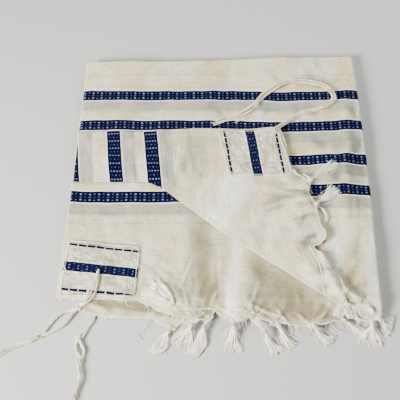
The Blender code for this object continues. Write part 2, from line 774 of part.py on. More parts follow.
def make_patch(name, corners, height, material, collection):
    """A reinforcing patch on a layer's corner, just clear of the cloth under it."""
    near_left, near_right, far_right, far_left = [Vector(corner) for corner in corners]
    lift = CLOTH_WALL / 2 + PATCH_GAP + PATCH_WALL / 2
    columns = []
    for column in range(PATCH_CELLS[0] + 1):
        near = near_left.lerp(near_right, column / PATCH_CELLS[0])
        far = far_left.lerp(far_right, column / PATCH_CELLS[0])
        spots = [near.lerp(far, row / PATCH_CELLS[1]) for row in range(PATCH_CELLS[1] + 1)]
        columns.append([(spot.x, spot.y, height(spot.x, spot.y) + lift) for spot in spots])
    obj = add_object(name, sheet(columns), material, collection)
    add_wall(obj, PATCH_WALL)


def top_of(piece, x, y):
    """Height of the upper face of the piece that a strand lies on."""
    if piece == "table":
        return 0.0
    patched = piece.endswith("_patch")
    layer = piece.removesuffix("_patch")
    middle = {"third": third_height, "second": second_height, "top": top_height, "flap": flap_height}
    lift = PATCH_GAP + PATCH_WALL if patched else 0.0
    return middle[layer](x, y) + CLOTH_WALL / 2 + lift


def level_heading(start, end):
    return Vector((end[0] - start[0], end[1] - start[1], 0.0)).normalized()


def left_of(heading):
    return Vector((-heading.y, heading.x, 0.0))


def make_head(bm, back, heading, size, cells, rings):
    """A rounded knot whose back and front are plates of cells. Returns both plates' faces."""
    made = bmesh.ops.create_grid(bm, x_segments=cells[0], y_segments=cells[1], size=0.5)
    left = left_of(heading)
    first_scale = rings[0][1]
    for vert in made["verts"]:
        wide, high = 2 * vert.co.x, 2 * vert.co.y
        round_wide = wide * math.sqrt(1 - high * high / 2)
        round_high = high * math.sqrt(1 - wide * wide / 2)
        side = left * round_wide * size.y / 2
        rise = Vector((0.0, 0.0, round_high * size.z / 2))
        vert.co = back + (side + rise) * first_scale
    back_faces = list(bm.faces)
    faces = back_faces
    for (low_along, low_scale), (along, scale) in zip(rings, rings[1:]):
        geometry = faces + [edge for face in faces for edge in face.edges]
        keep = faces is back_faces
        grown = bmesh.ops.extrude_face_region(bm, geom=list(set(geometry)), use_keep_orig=keep)
        centre = back + heading * size.x * low_along
        for vert in [item for item in grown["geom"] if isinstance(item, bmesh.types.BMVert)]:
            offset = (vert.co - centre) * scale / low_scale
            vert.co = back + heading * size.x * along + offset
        faces = [item for item in grown["geom"] if isinstance(item, bmesh.types.BMFace)]
    return back_faces, faces


def grow(bm, face, centres, thickness):
    """Carries one face of a plate through the centres as a square strand."""
    here = face.calc_center_median()
    left = None
    for centre, after in zip(centres, centres[1:] + [None]):
        heading = level_heading(here, centre if after is None else after)
        ahead = level_heading(here, centre)
        reference = left or left_of(ahead)
        left = left_of(heading)
        face = bmesh.ops.extrude_discrete_faces(bm, faces=[face])["faces"][0]
        for vert in face.verts:
            offset = vert.co - here
            side = math.copysign(thickness / 2, offset.dot(reference))
            rise = math.copysign(thickness / 2, offset.z)
            vert.co = centre + left * side + Vector((0.0, 0.0, rise))
        here = centre


def top_hem_y(x):
    hem = TOP_SECTIONS[-1]
    share = (x - hem.fold_x) / (hem.edge_x - RIGHT_ROLL_RADIUS - hem.fold_x)
    share = min(max(share, 0.0), 1.0)
    sag = TOP_HEM_BULGE * math.sin(math.pi * share)
    return hem.fold_y + (hem.edge_y - hem.fold_y) * share + sag


def flap_hem_x(y):
    hem = TOP_SECTIONS[-1]
    share = (y - hem.fold_y) / (hem.tuck_y - hem.fold_y)
    return hem.fold_x + (hem.tuck_x - hem.fold_x) * share + row_at(FLAP_HEM_WAVES, share)[1]


def depth_inside(hem, spot):
    """How far inside a hem a place lies; under zero where it stands off it."""
    if hem == "flap":
        return flap_hem_x(spot.y) - spot.x
    hem_y = {"second": SECOND_HEM, "third": THIRD_HEM}
    return spot.y - (top_hem_y(spot.x) if hem == "top" else row_at(hem_y[hem], spot.x)[1])


def hem_spot(tassel):
    """The place on its hem that a tassel is knotted to."""
    if tassel.hem == "flap":
        hem = TOP_SECTIONS[-1]
        y = hem.fold_y + (hem.tuck_y - hem.fold_y) * tassel.root
        x = flap_hem_x(y)
        return Vector((x, y, flap_height(x, y)))
    x = tassel.root
    if tassel.hem == "top":
        return Vector((x, top_hem_y(x), top_height(x, top_hem_y(x))))
    hem, height = {
        "second": (SECOND_HEM, second_height),
        "third": (THIRD_HEM, third_height),
    }[tassel.hem]
    y = row_at(hem, x)[1]
    return Vector((x, y, height(x, y)))


def seated(back, heading, hem):
    """The knot's back, moved along its heading until the whole knot clears the hem."""
    left = left_of(heading)
    toward = heading.x if hem == "flap" else -heading.y
    gap = FLAP_SEAT_GAP if hem == "flap" else SEAT_GAP
    for _ in range(SEAT_STEPS):
        deepest = max(
            depth_inside(hem, back + heading * TASSEL_HEAD.x * along + left * side * scale)
            for along, scale in HEAD_RINGS
            for side in (-TASSEL_HEAD.y / 2, 0.0, TASSEL_HEAD.y / 2)
        )
        back = back + heading * (deepest + gap) / toward
    return back


def cell_place(face, origin, left):
    """How far left, then how high, a plate's cell lies."""
    middle = face.calc_center_median()
    return round((middle - origin).dot(left), 6), middle.z


def make_tassel(name, tassel, material, collection):
    """A knotted tassel of eight locks that stands off its hem by the seam gap."""
    tip = Vector((tassel.tip_x, tassel.tip_y, 0.0))
    if tassel.hem == "on_second":
        lies_on = "second"
        back = Vector((*tassel.root, 0.0))
        heading = level_heading(back, tip)
    else:
        lies_on = "top" if tassel.hem == "flap" else "table"
        back = hem_spot(tassel)
        heading = level_heading(back, tip)
        back = seated(back, heading, tassel.hem)
    lowest = max(
        top_of(lies_on, *(back + heading * TASSEL_HEAD.x * along).xy) for along, _ in HEAD_RINGS
    )
    back.z = max(back.z, lowest + TASSEL_HEAD.z / 2 + HEAD_CLEARANCE)
    bm = bmesh.new()
    _, front = make_head(bm, back, heading, TASSEL_HEAD, TASSEL_CELLS, HEAD_RINGS)
    left = left_of(heading)
    front_centre = back + heading * TASSEL_HEAD.x
    reach = (tip - front_centre).to_2d().length
    ranked = sorted(front, key=lambda face: cell_place(face, back, left))
    for index, face in enumerate(ranked):
        column, row = divmod(index, TASSEL_CELLS[1])
        number = column + TASSEL_CELLS[0] * row
        fan = 2 * column / (TASSEL_CELLS[0] - 1) - 1 + LOCK_SHIFT[number] + LOCK_ROW_FAN * row
        points = []
        for along, wide in ((0.45, 0.62), (1.0, 1.0)):
            spot = front_centre + heading * reach * along * LOCK_REACH[number]
            spot += left * tassel.spread / 2 * wide * fan
            floor = top_of(lies_on, spot.x, spot.y) + LOCK_THICKNESS / 2 + FLOOR_CLEARANCE
            slack = (back.z - floor) * (1 - along) * LOCK_SAG
            spot.z = floor + max(slack, 0.0) + row * LOCK_ROW_STEP
            points.append(spot)
        grow(bm, face, points, LOCK_THICKNESS)
    add_object(name, bm, material, collection)


def strand_points(spots, thickness):
    clearance = thickness / 2 + FLOOR_CLEARANCE
    return [
        Vector((spot.x, spot.y, top_of(spot.on, spot.x, spot.y) + clearance + spot.rise))
        for spot in spots
    ]


def make_tzitzit(name, knot, material, collection):
    """A knot of the corner strings, with the strands that leave its front and its back."""
    cells = max(len(knot.front), len(knot.back))
    centre = Vector((knot.at.x, knot.at.y, 0.0))
    centre.z = top_of(knot.at.on, knot.at.x, knot.at.y) + KNOT_HEIGHT / 2 + knot.at.rise
    heading = level_heading(centre, knot.ahead)
    size = Vector((KNOT_LENGTH, CELL_WIDTH * cells, KNOT_HEIGHT))
    bm = bmesh.new()
    start = centre - heading * KNOT_LENGTH / 2
    back, front = make_head(bm, start, heading, size, (cells, 1), HEAD_RINGS)
    left = left_of(heading)
    for faces, strands in ((front, knot.front), (back, knot.back)):
        ranked = sorted(faces, key=lambda face: -(face.calc_center_median() - centre).dot(left))
        for face, spots in zip(ranked, strands):
            grow(bm, face, strand_points(spots, knot.thickness), knot.thickness)
    add_object(name, bm, material, collection)


clear_scene()
tallit = new_collection(COLLECTION)
cloth = cloth_material("tallit_cloth", CLOTH_COLOR)
patch_cloth = cloth_material("tallit_patch", PATCH_COLOR)
fringe = cloth_material("tallit_fringe", FRINGE_COLOR)
make_top_layer(cloth, tallit)
make_second_layer(cloth, tallit)
make_third_layer(cloth, tallit)
make_hidden_layers(cloth, tallit)
make_patch("corner_patch_second", SECOND_PATCH, second_height, patch_cloth, tallit)
make_patch("corner_patch_flap", FLAP_PATCH, flap_height, patch_cloth, tallit)
for order, tassel_row in enumerate(TASSELS, start=1):
    make_tassel(f"tassel_{order:02d}", tassel_row, fringe, tallit)
make_tzitzit("tzitzit_second_cords", TZITZIT_SECOND_CORDS, fringe, tallit)
make_tzitzit("tzitzit_second_ends", TZITZIT_SECOND_ENDS, fringe, tallit)
make_tzitzit("tzitzit_third_cords", TZITZIT_THIRD_CORDS, fringe, tallit)
make_tzitzit("tzitzit_third_ends", TZITZIT_THIRD_ENDS, fringe, tallit)
make_tzitzit("tzitzit_flap", TZITZIT_FLAP, fringe, tallit)
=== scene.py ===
# %% [markdown]
# # A folded tallit
#
# A tallit is a fringed prayer shawl, here one hand-woven cotton sheet folded into a flat
# pile of eight layers. Its near left corner is turned up, so the reverse of the cloth
# shows. This lesson dresses the rigid solids of that pile with thin cloth, woven stripes,
# yarn tassels and twisted corner strings. Every measure is in metres.

# %% Load the frame
import math
import random
from collections import namedtuple

import bmesh
import bpy
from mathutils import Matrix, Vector, noise


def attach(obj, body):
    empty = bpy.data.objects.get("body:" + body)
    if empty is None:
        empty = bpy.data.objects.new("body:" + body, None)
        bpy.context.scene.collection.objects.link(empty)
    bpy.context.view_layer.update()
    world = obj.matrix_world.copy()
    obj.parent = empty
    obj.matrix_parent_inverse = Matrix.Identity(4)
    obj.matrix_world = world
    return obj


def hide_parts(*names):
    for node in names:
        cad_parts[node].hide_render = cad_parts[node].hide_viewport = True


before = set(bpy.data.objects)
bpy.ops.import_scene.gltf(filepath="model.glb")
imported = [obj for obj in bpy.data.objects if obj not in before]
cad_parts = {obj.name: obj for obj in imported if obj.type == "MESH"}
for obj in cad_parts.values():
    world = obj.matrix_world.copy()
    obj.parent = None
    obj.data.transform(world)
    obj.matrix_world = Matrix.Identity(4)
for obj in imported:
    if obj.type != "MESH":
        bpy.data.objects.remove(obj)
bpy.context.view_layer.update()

# %% [markdown]
# The camera looks down at the pile from its near side. A long lens keeps the folded
# rectangle nearly square, and the floor is plain. We set the camera before the cloth, so
# that each later step can be judged from the place it will be seen from.

# %% Camera, floor and light
PILE_CORNER = Vector((-0.1859, -0.1432, 0.0))
CAMERA_TILT = math.radians(58)
CAMERA_DISTANCE = 1.2559
CAMERA_LENS = 67.6
CORNER_TO_MIDDLE = Vector((0.22, 0.21, 0.0))
WORLD_COLOR = (1.0, 0.97, 0.88, 1.0)
WORLD_STRENGTH = 0.15
looked_at = PILE_CORNER + CORNER_TO_MIDDLE

camera_data = bpy.data.cameras.new("camera")
camera_data.lens = CAMERA_LENS
camera = bpy.data.objects.new("camera", camera_data)
back_off = Vector((0.0, -math.cos(CAMERA_TILT), math.sin(CAMERA_TILT)))
camera.location = looked_at + back_off * CAMERA_DISTANCE
camera.rotation_euler = (math.pi / 2 - CAMERA_TILT, 0.0, 0.0)
bpy.context.scene.collection.objects.link(camera)
bpy.context.scene.camera = camera


def area_light(name, place, size, watts, color):
    """A soft square light that faces the pile."""
    data = bpy.data.lights.new(name, "AREA")
    data.size = size
    data.energy = watts
    data.color = color
    light = bpy.data.objects.new(name, data)
    light.location = looked_at + Vector(place)
    light.rotation_euler = (-Vector(place)).to_track_quat("-Z", "Y").to_euler()
    bpy.context.scene.collection.objects.link(light)


area_light("window", (-1.60, -1.14, 1.06), 0.75, 196.0, (1.0, 0.99, 0.96))
area_light("room", (0.7, 0.8, 1.1), 1.3, 24.0, (0.99, 1.0, 0.98))
world = bpy.data.worlds.new("studio")
world.use_nodes = True
world.node_tree.nodes["Background"].inputs["Color"].default_value = WORLD_COLOR
world.node_tree.nodes["Background"].inputs["Strength"].default_value = WORLD_STRENGTH
bpy.context.scene.world = world
print("camera at", [round(value, 3) for value in camera.location])

# %% [markdown]
# Cloth in a pile is easiest to describe by tables: a row for each section across the
# folds, and the places where a soft ridge runs. They follow the measures that the rigid
# solids were made from, so the cloth lies where the solids lie.
#
# x runs to the right from the pile's near left corner, and y from its near edge to the
# far fold.

# %% Sizes of the pile
# Cloth and stack, in metres.
CLOTH_WALL = 0.0014
PATCH_WALL = 0.0010
SEAM_GAP = 0.0003
LAYER_PITCH = 0.0021
HIDDEN_HEIGHT = 0.0080
FLOOR_CLEARANCE = 0.0006
# The near edge of the pile droops over the hidden layers to the table.
DROOP_START_Y = 0.024
DROOP_RUN = 0.028
DROOP_HEIGHT = 0.0076

# The top layer rolls over the pile's far and right edges, and round its own folds.
FAR_ROLL_RADIUS = 0.0032
RIGHT_ROLL_RADIUS = 0.0050
FAR_ROLL_FOOT = 0.0069
RIGHT_ROLL_FOOT = 0.0015
ROLL_END_ANGLE = math.radians(150)
TUCK_DEPTH = 0.045
TUCK_STEP = 0.034
print("layer pitch:", LAYER_PITCH, "m, cloth wall:", CLOTH_WALL, "m")


# %% Sections of the top layer
Section = namedtuple("Section", "fold_x fold_y tuck_x tuck_y edge_x edge_y")


def rows_of(kind, *rows):
    """A table whose rows can be read by the names of their columns."""
    return [kind(*row) for row in rows]


# Sections of the top layer, from the pile's left edge to the hem. Each one runs from
# the flap's tucked far edge, round the fold, and over the pile to its outer edge.
TOP_SECTIONS = rows_of(
    Section,
    (0.009, 0.235, 0.009, 0.336, 0.01, 0.503),
    (0.072, 0.235, 0.072, 0.336, 0.1, 0.506),
    (0.128, 0.234, 0.127, 0.336, 0.21, 0.508),
    (0.157, 0.221, 0.152, 0.338, 0.31, 0.511),
    (0.188, 0.195, 0.178, 0.341, 0.41, 0.516),
    (0.224, 0.165, 0.209, 0.3435, 0.485, 0.518),
    (0.236, 0.155, 0.22, 0.344, 0.503, 0.5175),
    (0.248, 0.145, 0.231, 0.344, 0.5052, 0.496),
    (0.28, 0.12, 0.258, 0.344, 0.5055, 0.42),
    (0.32, 0.091, 0.296, 0.343, 0.505, 0.3),
    (0.36, 0.064, 0.326, 0.343, 0.503, 0.19),
    (0.4, 0.034, 0.346, 0.342, 0.499, 0.09),
    (0.439, 0.004, 0.358, 0.341, 0.497, -0.003),
)

FAR_RIGHT = 6  # the section that ends in the pile's far right corner

HemWave = namedtuple("HemWave", "along out lift")
# The flap's hem, by share of its length from the fold: how far it stands out, and up.
FLAP_HEM_WAVES = rows_of(
    HemWave,
    (0.0, 0.0, 0.0),
    (0.04, 0.002, 0.001),
    (0.087, 0.0063, 0.0034),
    (0.148, 0.0064, 0.003),
    (0.178, -0.003, 0.0014),
    (0.225, -0.0036, 0.0018),
    (0.27, -0.0079, 0.0014),
    (0.292, -0.0134, 0.001),
    (0.31, -0.017, 0.0006),
    (0.33, 0.0004, 0.0036),
    (0.358, 0.0094, 0.006),
    (0.392, 0.012, 0.0062),
    (0.425, 0.0084, 0.0044),
    (0.487, 0.01, 0.003),
    (0.54, 0.011, 0.0034),
    (0.611, 0.0085, 0.0012),
    (0.669, 0.016, 0.003),
    (0.7, 0.009, 0.0016),
    (0.73, 0.001, 0.0008),
    (0.77, -0.0036, 0.0016),
    (0.85, -0.002, 0.001),
    (0.92, 0.002, 0.0),
    (1.0, 0.0, 0.0),
)
FLAP_WAVE_REACH = 0.22
FLAP_LIFT_REACH = 0.080
TOP_HEM_BULGE = -0.011

# The left outline of the pile, and where the layers under the top one end.
LEFT_OUTLINE = [(0.026, 0.0013), (0.091, 0.0026), (0.193, 0.0058), (0.348, 0.0080), (0.503, 0.0100)]
PANEL_FAR_INSET = 0.0075
PANEL_RIGHT_INSET = 0.0078
THIRD_LEFT_INSET = 0.006
THIRD_SHAPE_END = 0.022
HEM_SHAPE_REACH = 0.05
print("top layer:", len(TOP_SECTIONS), "given sections,", len(FLAP_HEM_WAVES), "places on the flap's hem")


# %% Hems of the second and third layer
HemPoint = namedtuple("HemPoint", "x y lift")
SECOND_HEM = rows_of(
    HemPoint,
    (0.0006, 0.0277, 0.0),
    (0.036, 0.0243, 0.0004),
    (0.079, 0.0243, 0.0),
    (0.105, 0.021, 0.0008),
    (0.12, 0.024, 0.0002),
    (0.1437, 0.0144, 0.0022),
    (0.159, 0.0045, 0.001),
    (0.1776, -0.002, 0.0044),
    (0.197, -0.0053, 0.0008),
    (0.212, -0.0085, 0.0034),
    (0.2275, -0.007, 0.0008),
    (0.2428, 0.005, 0.004),
    (0.2578, -0.0053, 0.0006),
    (0.28, -0.0118, 0.0048),
    (0.297, -0.0053, 0.0008),
    (0.333, -0.0118, 0.0026),
    (0.37, -0.0166, 0.0006),
    (0.4, -0.016, 0.0022),
    (0.44, -0.006, 0.0004),
    (0.4885, -0.004, 0.0),
)
THIRD_HEM = rows_of(
    HemPoint,
    (0.0418, 0.0046, 0.0),
    (0.0834, -0.002, 0.0002),
    (0.144, -0.002, 0.0),
    (0.167, -0.015, 0.0004),
    (0.178, -0.0215, 0.0012),
    (0.193, -0.0117, 0.0002),
    (0.24, 0.002, 0.0),
    (0.488, 0.002, 0.0),
)
HEM_WAVE_REACH = 0.045
print("hem places:", len(SECOND_HEM), "and", len(THIRD_HEM))


# %% Soft ridges
SoftFold = namedtuple("SoftFold", "x y turn length width height")
# turn is in degrees from +x. The top layer inherits the ridges of the second one below it.
SECOND_FOLDS = rows_of(
    SoftFold,
    (0.288, 0.05, 84, 0.14, 0.019, 0.005),
    (0.204, 0.08, 84, 0.12, 0.014, 0.0026),
    (0.185, 0.03, -56, 0.085, 0.007, 0.0026),
    (0.158, 0.05, -48, 0.08, 0.006, 0.0018),
    (0.232, 0.032, 66, 0.06, 0.007, 0.0024),
    (0.15, 0.09, -32, 0.07, 0.01, 0.0012),
    (0.345, 0.02, 74, 0.05, 0.01, 0.0018),
    (0.395, 0.006, 64, 0.045, 0.009, 0.002),
)
THIRD_FOLDS = rows_of(
    SoftFold,
    (0.062, 0.013, -24, 0.034, 0.005, 0.0026),
    (0.12, 0.006, -6, 0.09, 0.004, 0.0012),
)
TOP_FOLDS = rows_of(
    SoftFold,
    (0.245, 0.43, 88, 0.15, 0.008, 0.0014),
    (0.47, 0.06, 62, 0.15, 0.013, 0.0026),
    (0.452, 0.13, 48, 0.12, 0.012, 0.0018),
    (0.484, 0.012, 30, 0.04, 0.008, 0.0016),
    (0.33, 0.468, 4, 0.18, 0.012, 0.0012),
    (0.461, 0.228, 84, 0.15, 0.012, 0.0036),
    (0.476, 0.33, 88, 0.11, 0.011, 0.0028),
    (0.482, 0.42, 80, 0.09, 0.01, 0.002),
)
FLAP_FOLDS = rows_of(
    SoftFold,
    (0.345, 0.17, 12, 0.11, 0.012, 0.0028),
    (0.35, 0.215, -14, 0.08, 0.007, 0.002),
    (0.285, 0.2, 52, 0.12, 0.02, 0.0022),
    (0.185, 0.285, 80, 0.08, 0.012, 0.0012),
    (0.38, 0.09, -62, 0.11, 0.012, 0.0026),
    (0.414, 0.076, -78, 0.06, 0.006, 0.0026),
    (0.424, 0.044, -70, 0.04, 0.006, 0.0022),
)
print("soft ridges:", len(SECOND_FOLDS + THIRD_FOLDS + TOP_FOLDS + FLAP_FOLDS))

# %% [markdown]
# The next helpers turn the tables into smooth heights. A layer's height is the height of
# the layer under it, plus one pitch, plus its own ridges. Layers that are summed this way
# can never cut through each other, whatever we add later.

# %% Smooth tables and heights
def ease(share):
    share = min(max(share, 0.0), 1.0)
    return share * share * (3 - 2 * share)


def bell(ratio):
    """1 at 0, and fading to nothing on both sides of it."""
    return math.exp(-(ratio**2))


def curve_through(rows, share):
    """The point at this share of a smooth curve through the rows of a table."""
    spans = len(rows) - 1
    index = min(int(share * spans), spans - 1)
    t = share * spans - index
    before, first = rows[max(index - 1, 0)], rows[index]
    second, after = rows[index + 1], rows[min(index + 2, spans)]
    return [
        0.5 * (2 * b + (c - a) * t + (2 * a - 5 * b + 4 * c - d) * t**2 + (3 * b - a - 3 * c + d) * t**3)
        for a, b, c, d in zip(before, first, second, after)
    ]


def row_at(rows, key):
    """The table's values at this value of its first column, smoothly between rows."""
    if key <= rows[0][0]:
        return rows[0]
    for low, high in zip(rows, rows[1:]):
        if key <= high[0]:
            share = ease((key - low[0]) / (high[0] - low[0]))
            return [a + (b - a) * share for a, b in zip(low, high)]
    return rows[-1]


def fold_height(folds, x, y):
    """The summed height of the soft ridges at a place on the pile."""
    total = 0.0
    for fold in folds:
        angle = math.radians(fold.turn)
        along = (x - fold.x) * math.cos(angle) + (y - fold.y) * math.sin(angle)
        across = (y - fold.y) * math.cos(angle) - (x - fold.x) * math.sin(angle)
        ends = math.exp(-((2 * along / fold.length) ** 4))
        total += fold.height * bell(across / fold.width) * ends
    return total


def flap_far_edge(x):
    far = [(section.tuck_x, section.tuck_y) for section in TOP_SECTIONS]
    return row_at(far, x)[1]


def flap_hem_line(y):
    """The share of the flap's hem at this y, and the x of the straight line it waves about."""
    hem = TOP_SECTIONS[-1]
    share = (y - hem.fold_y) / (hem.tuck_y - hem.fold_y)
    return share, hem.fold_x + (hem.tuck_x - hem.fold_x) * share


def flap_hem_lift(x, y):
    """How far the flap's wavy hem stands up at a place near it."""
    share, hem_x = flap_hem_line(y)
    return row_at(FLAP_HEM_WAVES, share)[2] * ease(1 - (hem_x - x) / FLAP_LIFT_REACH)


print("second layer's main ridge:", round(fold_height(SECOND_FOLDS, 0.29, 0.05) * 1000, 1), "mm")

# %% [markdown]
# The fringe is tied into fifteen tassels. Real ones are never evenly spaced or alike, so a
# table gives each its hem, its root, the tip it points to, how wide it opens and how: as a
# round fan, a closed leaf or a flare.
#
# The root is x along the second, third or top hem, the share of the flap's hem from its
# fold, or, for the one that lies on the second layer, its own place. The knot is tied
# `drop` metres below the hem. A brush that was combed aside has a bow.

# %% Tassel places
Tassel = namedtuple("Tassel", "hem root tip_x tip_y spread drop shape bow")
TASSELS = rows_of(
    Tassel,
    ("third", 0.1763, 0.1503, -0.059, 0.022, 0.0, "leaf", 0.0035),
    ("second", 0.212, 0.19, -0.049, 0.036, 0.005, "fan", 0.0),
    ("second", 0.2335, 0.209, -0.062, 0.019, 0.012, "leaf", 0.0035),
    ("second", 0.2713, 0.267, -0.0545, 0.027, 0.003, "flare", 0.0),
    ("second", 0.303, 0.3345, -0.0565, 0.019, 0.02, "flare", -0.002),
    ("second", 0.335, 0.3571, -0.049, 0.011, 0.002, "fan", -0.001),
    ("second", 0.3876, 0.4148, -0.04, 0.018, 0.001, "flare", -0.003),
    ("second", 0.434, 0.47, -0.03, 0.014, 0.0, "fan", 0.0),
    ("top", 0.48, 0.473, -0.045, 0.034, 0.0, "fan", 0.0),
    ("top", 0.486, 0.5085, -0.015, 0.03, 0.0, "fan", 0.0),
    ("on_second", (0.175, 0.015), 0.133, 0.034, 0.02, 0.0, "fan", 0.0),
    ("flap", 0.673, 0.446, 0.27, 0.016, 0.0, "fan", 0.0),
    ("flap", 0.538, 0.444, 0.216, 0.017, 0.0, "fan", 0.0),
    ("flap", 0.092, 0.462, 0.019, 0.01, 0.0, "fan", 0.0),
    ("flap", 0.022, 0.476, 0.006, 0.012, 0.0, "fan", 0.0),
)


SCALLOP = 0.0014
SCALLOPS_PER_METRE = 90


def scallop(y):
    """The small uneven scallops of the flap's hem, which start above its tip."""
    return SCALLOP * noise.noise(Vector((y * SCALLOPS_PER_METRE, 8.1, 0.0))) * ease(y / 0.03)


def flap_hem_x(y):
    share, straight_x = flap_hem_line(y)
    return straight_x + row_at(FLAP_HEM_WAVES, share)[1] + scallop(y)


def top_hem_y(x):
    hem = TOP_SECTIONS[-1]
    share = (x - hem.fold_x) / (hem.edge_x - RIGHT_ROLL_RADIUS - hem.fold_x)
    share = min(max(share, 0.0), 1.0)
    sag = TOP_HEM_BULGE * math.sin(math.pi * share)
    return hem.fold_y + (hem.edge_y - hem.fold_y) * share + sag


def root_place(tassel):
    """Where on the pile a tassel is tied."""
    if tassel.hem == "on_second":
        return tassel.root
    if tassel.hem == "flap":
        hem = TOP_SECTIONS[-1]
        y = hem.fold_y + (hem.tuck_y - hem.fold_y) * tassel.root
        return flap_hem_x(y), y
    if tassel.hem == "top":
        return tassel.root, top_hem_y(tassel.root)
    return tassel.root, row_at({"second": SECOND_HEM, "third": THIRD_HEM}[tassel.hem], tassel.root)[1]


ROOTS = [root_place(tassel) for tassel in TASSELS]
print("tassel roots:", len(ROOTS))

# %% [markdown]
# A tied tassel gathers its hem: the cloth is pulled towards the knot in a small point,
# and short pleats fan out from it. We measure a place's direction and distance from each
# root, and let a few waves run round the root and fade away from it. Numbers that are only
# added to a noise's place give each use of it its own pattern.

# %% Gathers at the tassels
GATHER_REACH = 0.027
GATHER_HEIGHT = 0.0018
GATHER_RAYS = 2.6  # how many pleats fan out, by the fineness of their noise
PULL_WIDTH = 0.0062
PULL_DEPTH = 0.0058


def gather_height(hems, x, y):
    total = 0.0
    for order, tassel in enumerate(TASSELS):
        root_x, root_y = ROOTS[order]
        distance = math.hypot(x - root_x, y - root_y)
        if tassel.hem not in hems or distance > 3 * GATHER_REACH:
            continue
        angle = math.atan2(y - root_y, x - root_x)
        ray = Vector((math.cos(angle), math.sin(angle), 0.0)) * GATHER_RAYS
        pleat = 0.5 + 1.1 * noise.noise(ray + Vector((order * 3.3, distance * 14, order * 1.9)))
        near = bell(distance / GATHER_REACH) * ease(distance / 0.010)
        total += GATHER_HEIGHT * pleat * near
    return total


def pull(hem, along, step_scale=1.0):
    """How far the hem is drawn out towards the tassels tied to it."""
    drawn = 0.0
    for tassel in TASSELS:
        if tassel.hem == hem:
            drawn += bell((along - tassel.root) * step_scale / PULL_WIDTH)
    return PULL_DEPTH * drawn


print("second hem drawn out at its third tassel:", round(pull("second", TASSELS[2].root) * 1000, 1), "mm")

# %% [markdown]
# Handling leaves sharper creases, and gathers wrinkle the hem of the flap. They could be
# sculpted, but a table of short narrow ridges is exact and easy to change. Only the cloth
# has them: the rigid solids under it stay smooth.

# %% Creases
SECOND_CREASES = rows_of(
    SoftFold,
    (0.17, 0.062, -40, 0.075, 0.0035, 0.0012),
    (0.196, 0.06, 70, 0.06, 0.0035, 0.001),
    (0.214, 0.03, 80, 0.05, 0.004, 0.0014),
    (0.252, 0.06, 88, 0.08, 0.0045, 0.0012),
    (0.3, 0.02, 70, 0.06, 0.004, 0.0016),
    (0.372, 0.01, 96, 0.05, 0.0045, 0.0014),
    (0.41, 0.004, 60, 0.04, 0.004, 0.001),
    (0.13, 0.17, 8, 0.13, 0.005, 0.0005),
    (0.2405, 0.0215, 69, 0.03, 0.003, 0.0022),
    (0.199, 0.022, -75, 0.03, 0.0032, 0.0018),
    (0.222, 0.04, 78, 0.06, 0.0045, 0.0012),
    (0.318, 0.004, -20, 0.05, 0.003, 0.002),
    (0.345, -0.004, -50, 0.03, 0.003, 0.002),
    (0.3, -0.001, 60, 0.022, 0.003, 0.002),
    (0.375, -0.006, -40, 0.032, 0.003, 0.0018),
    (0.398, -0.007, 35, 0.03, 0.003, 0.0018),
    (0.262, 0.002, -34, 0.034, 0.003, 0.0018),
    (0.223, -0.0005, 28, 0.024, 0.0028, 0.0016),
)
TOP_CREASES = rows_of(
    SoftFold,
    (0.232, 0.42, 92, 0.09, 0.003, 0.0008),
    (0.15, 0.47, 2, 0.15, 0.0045, 0.0006),
    (0.43, 0.44, 76, 0.1, 0.005, 0.0008),
    (0.44, 0.06, 50, 0.09, 0.004, 0.001),
    (0.474, 0.19, 84, 0.12, 0.005, 0.001),
    (0.41, 0.4, -20, 0.1, 0.005, 0.0006),
)
FLAP_CREASES = rows_of(
    SoftFold,
    (0.335, 0.185, 20, 0.07, 0.004, 0.0012),
    (0.372, 0.232, -30, 0.06, 0.004, 0.0012),
    (0.3, 0.15, 50, 0.09, 0.005, 0.001),
    (0.392, 0.12, -50, 0.07, 0.004, 0.0014),
    (0.41, 0.06, -64, 0.06, 0.004, 0.0012),
    (0.24, 0.24, 62, 0.09, 0.005, 0.0007),
    (0.195, 0.33, 4, 0.13, 0.0035, 0.0005),
    (0.07, 0.239, 0, 0.16, 0.0012, -0.0008),
    (0.395, 0.126, 30, 0.034, 0.009, -0.0048),
    (0.372, 0.142, 14, 0.05, 0.006, -0.001),
    (0.39, 0.164, 64, 0.036, 0.0045, -0.0016),
    (0.396, 0.246, -23, 0.05, 0.0036, 0.0034),
    (0.398, 0.233, -24, 0.046, 0.003, -0.002),
    (0.39, 0.219, -7, 0.056, 0.0036, 0.0036),
    (0.392, 0.207, 4, 0.044, 0.003, -0.002),
    (0.39, 0.196, 12, 0.046, 0.0036, 0.0034),
    (0.396, 0.184, 15, 0.036, 0.003, -0.0018),
    (0.397, 0.173, 18, 0.04, 0.0034, 0.003),
)
print("creases:", len(SECOND_CREASES + TOP_CREASES + FLAP_CREASES))
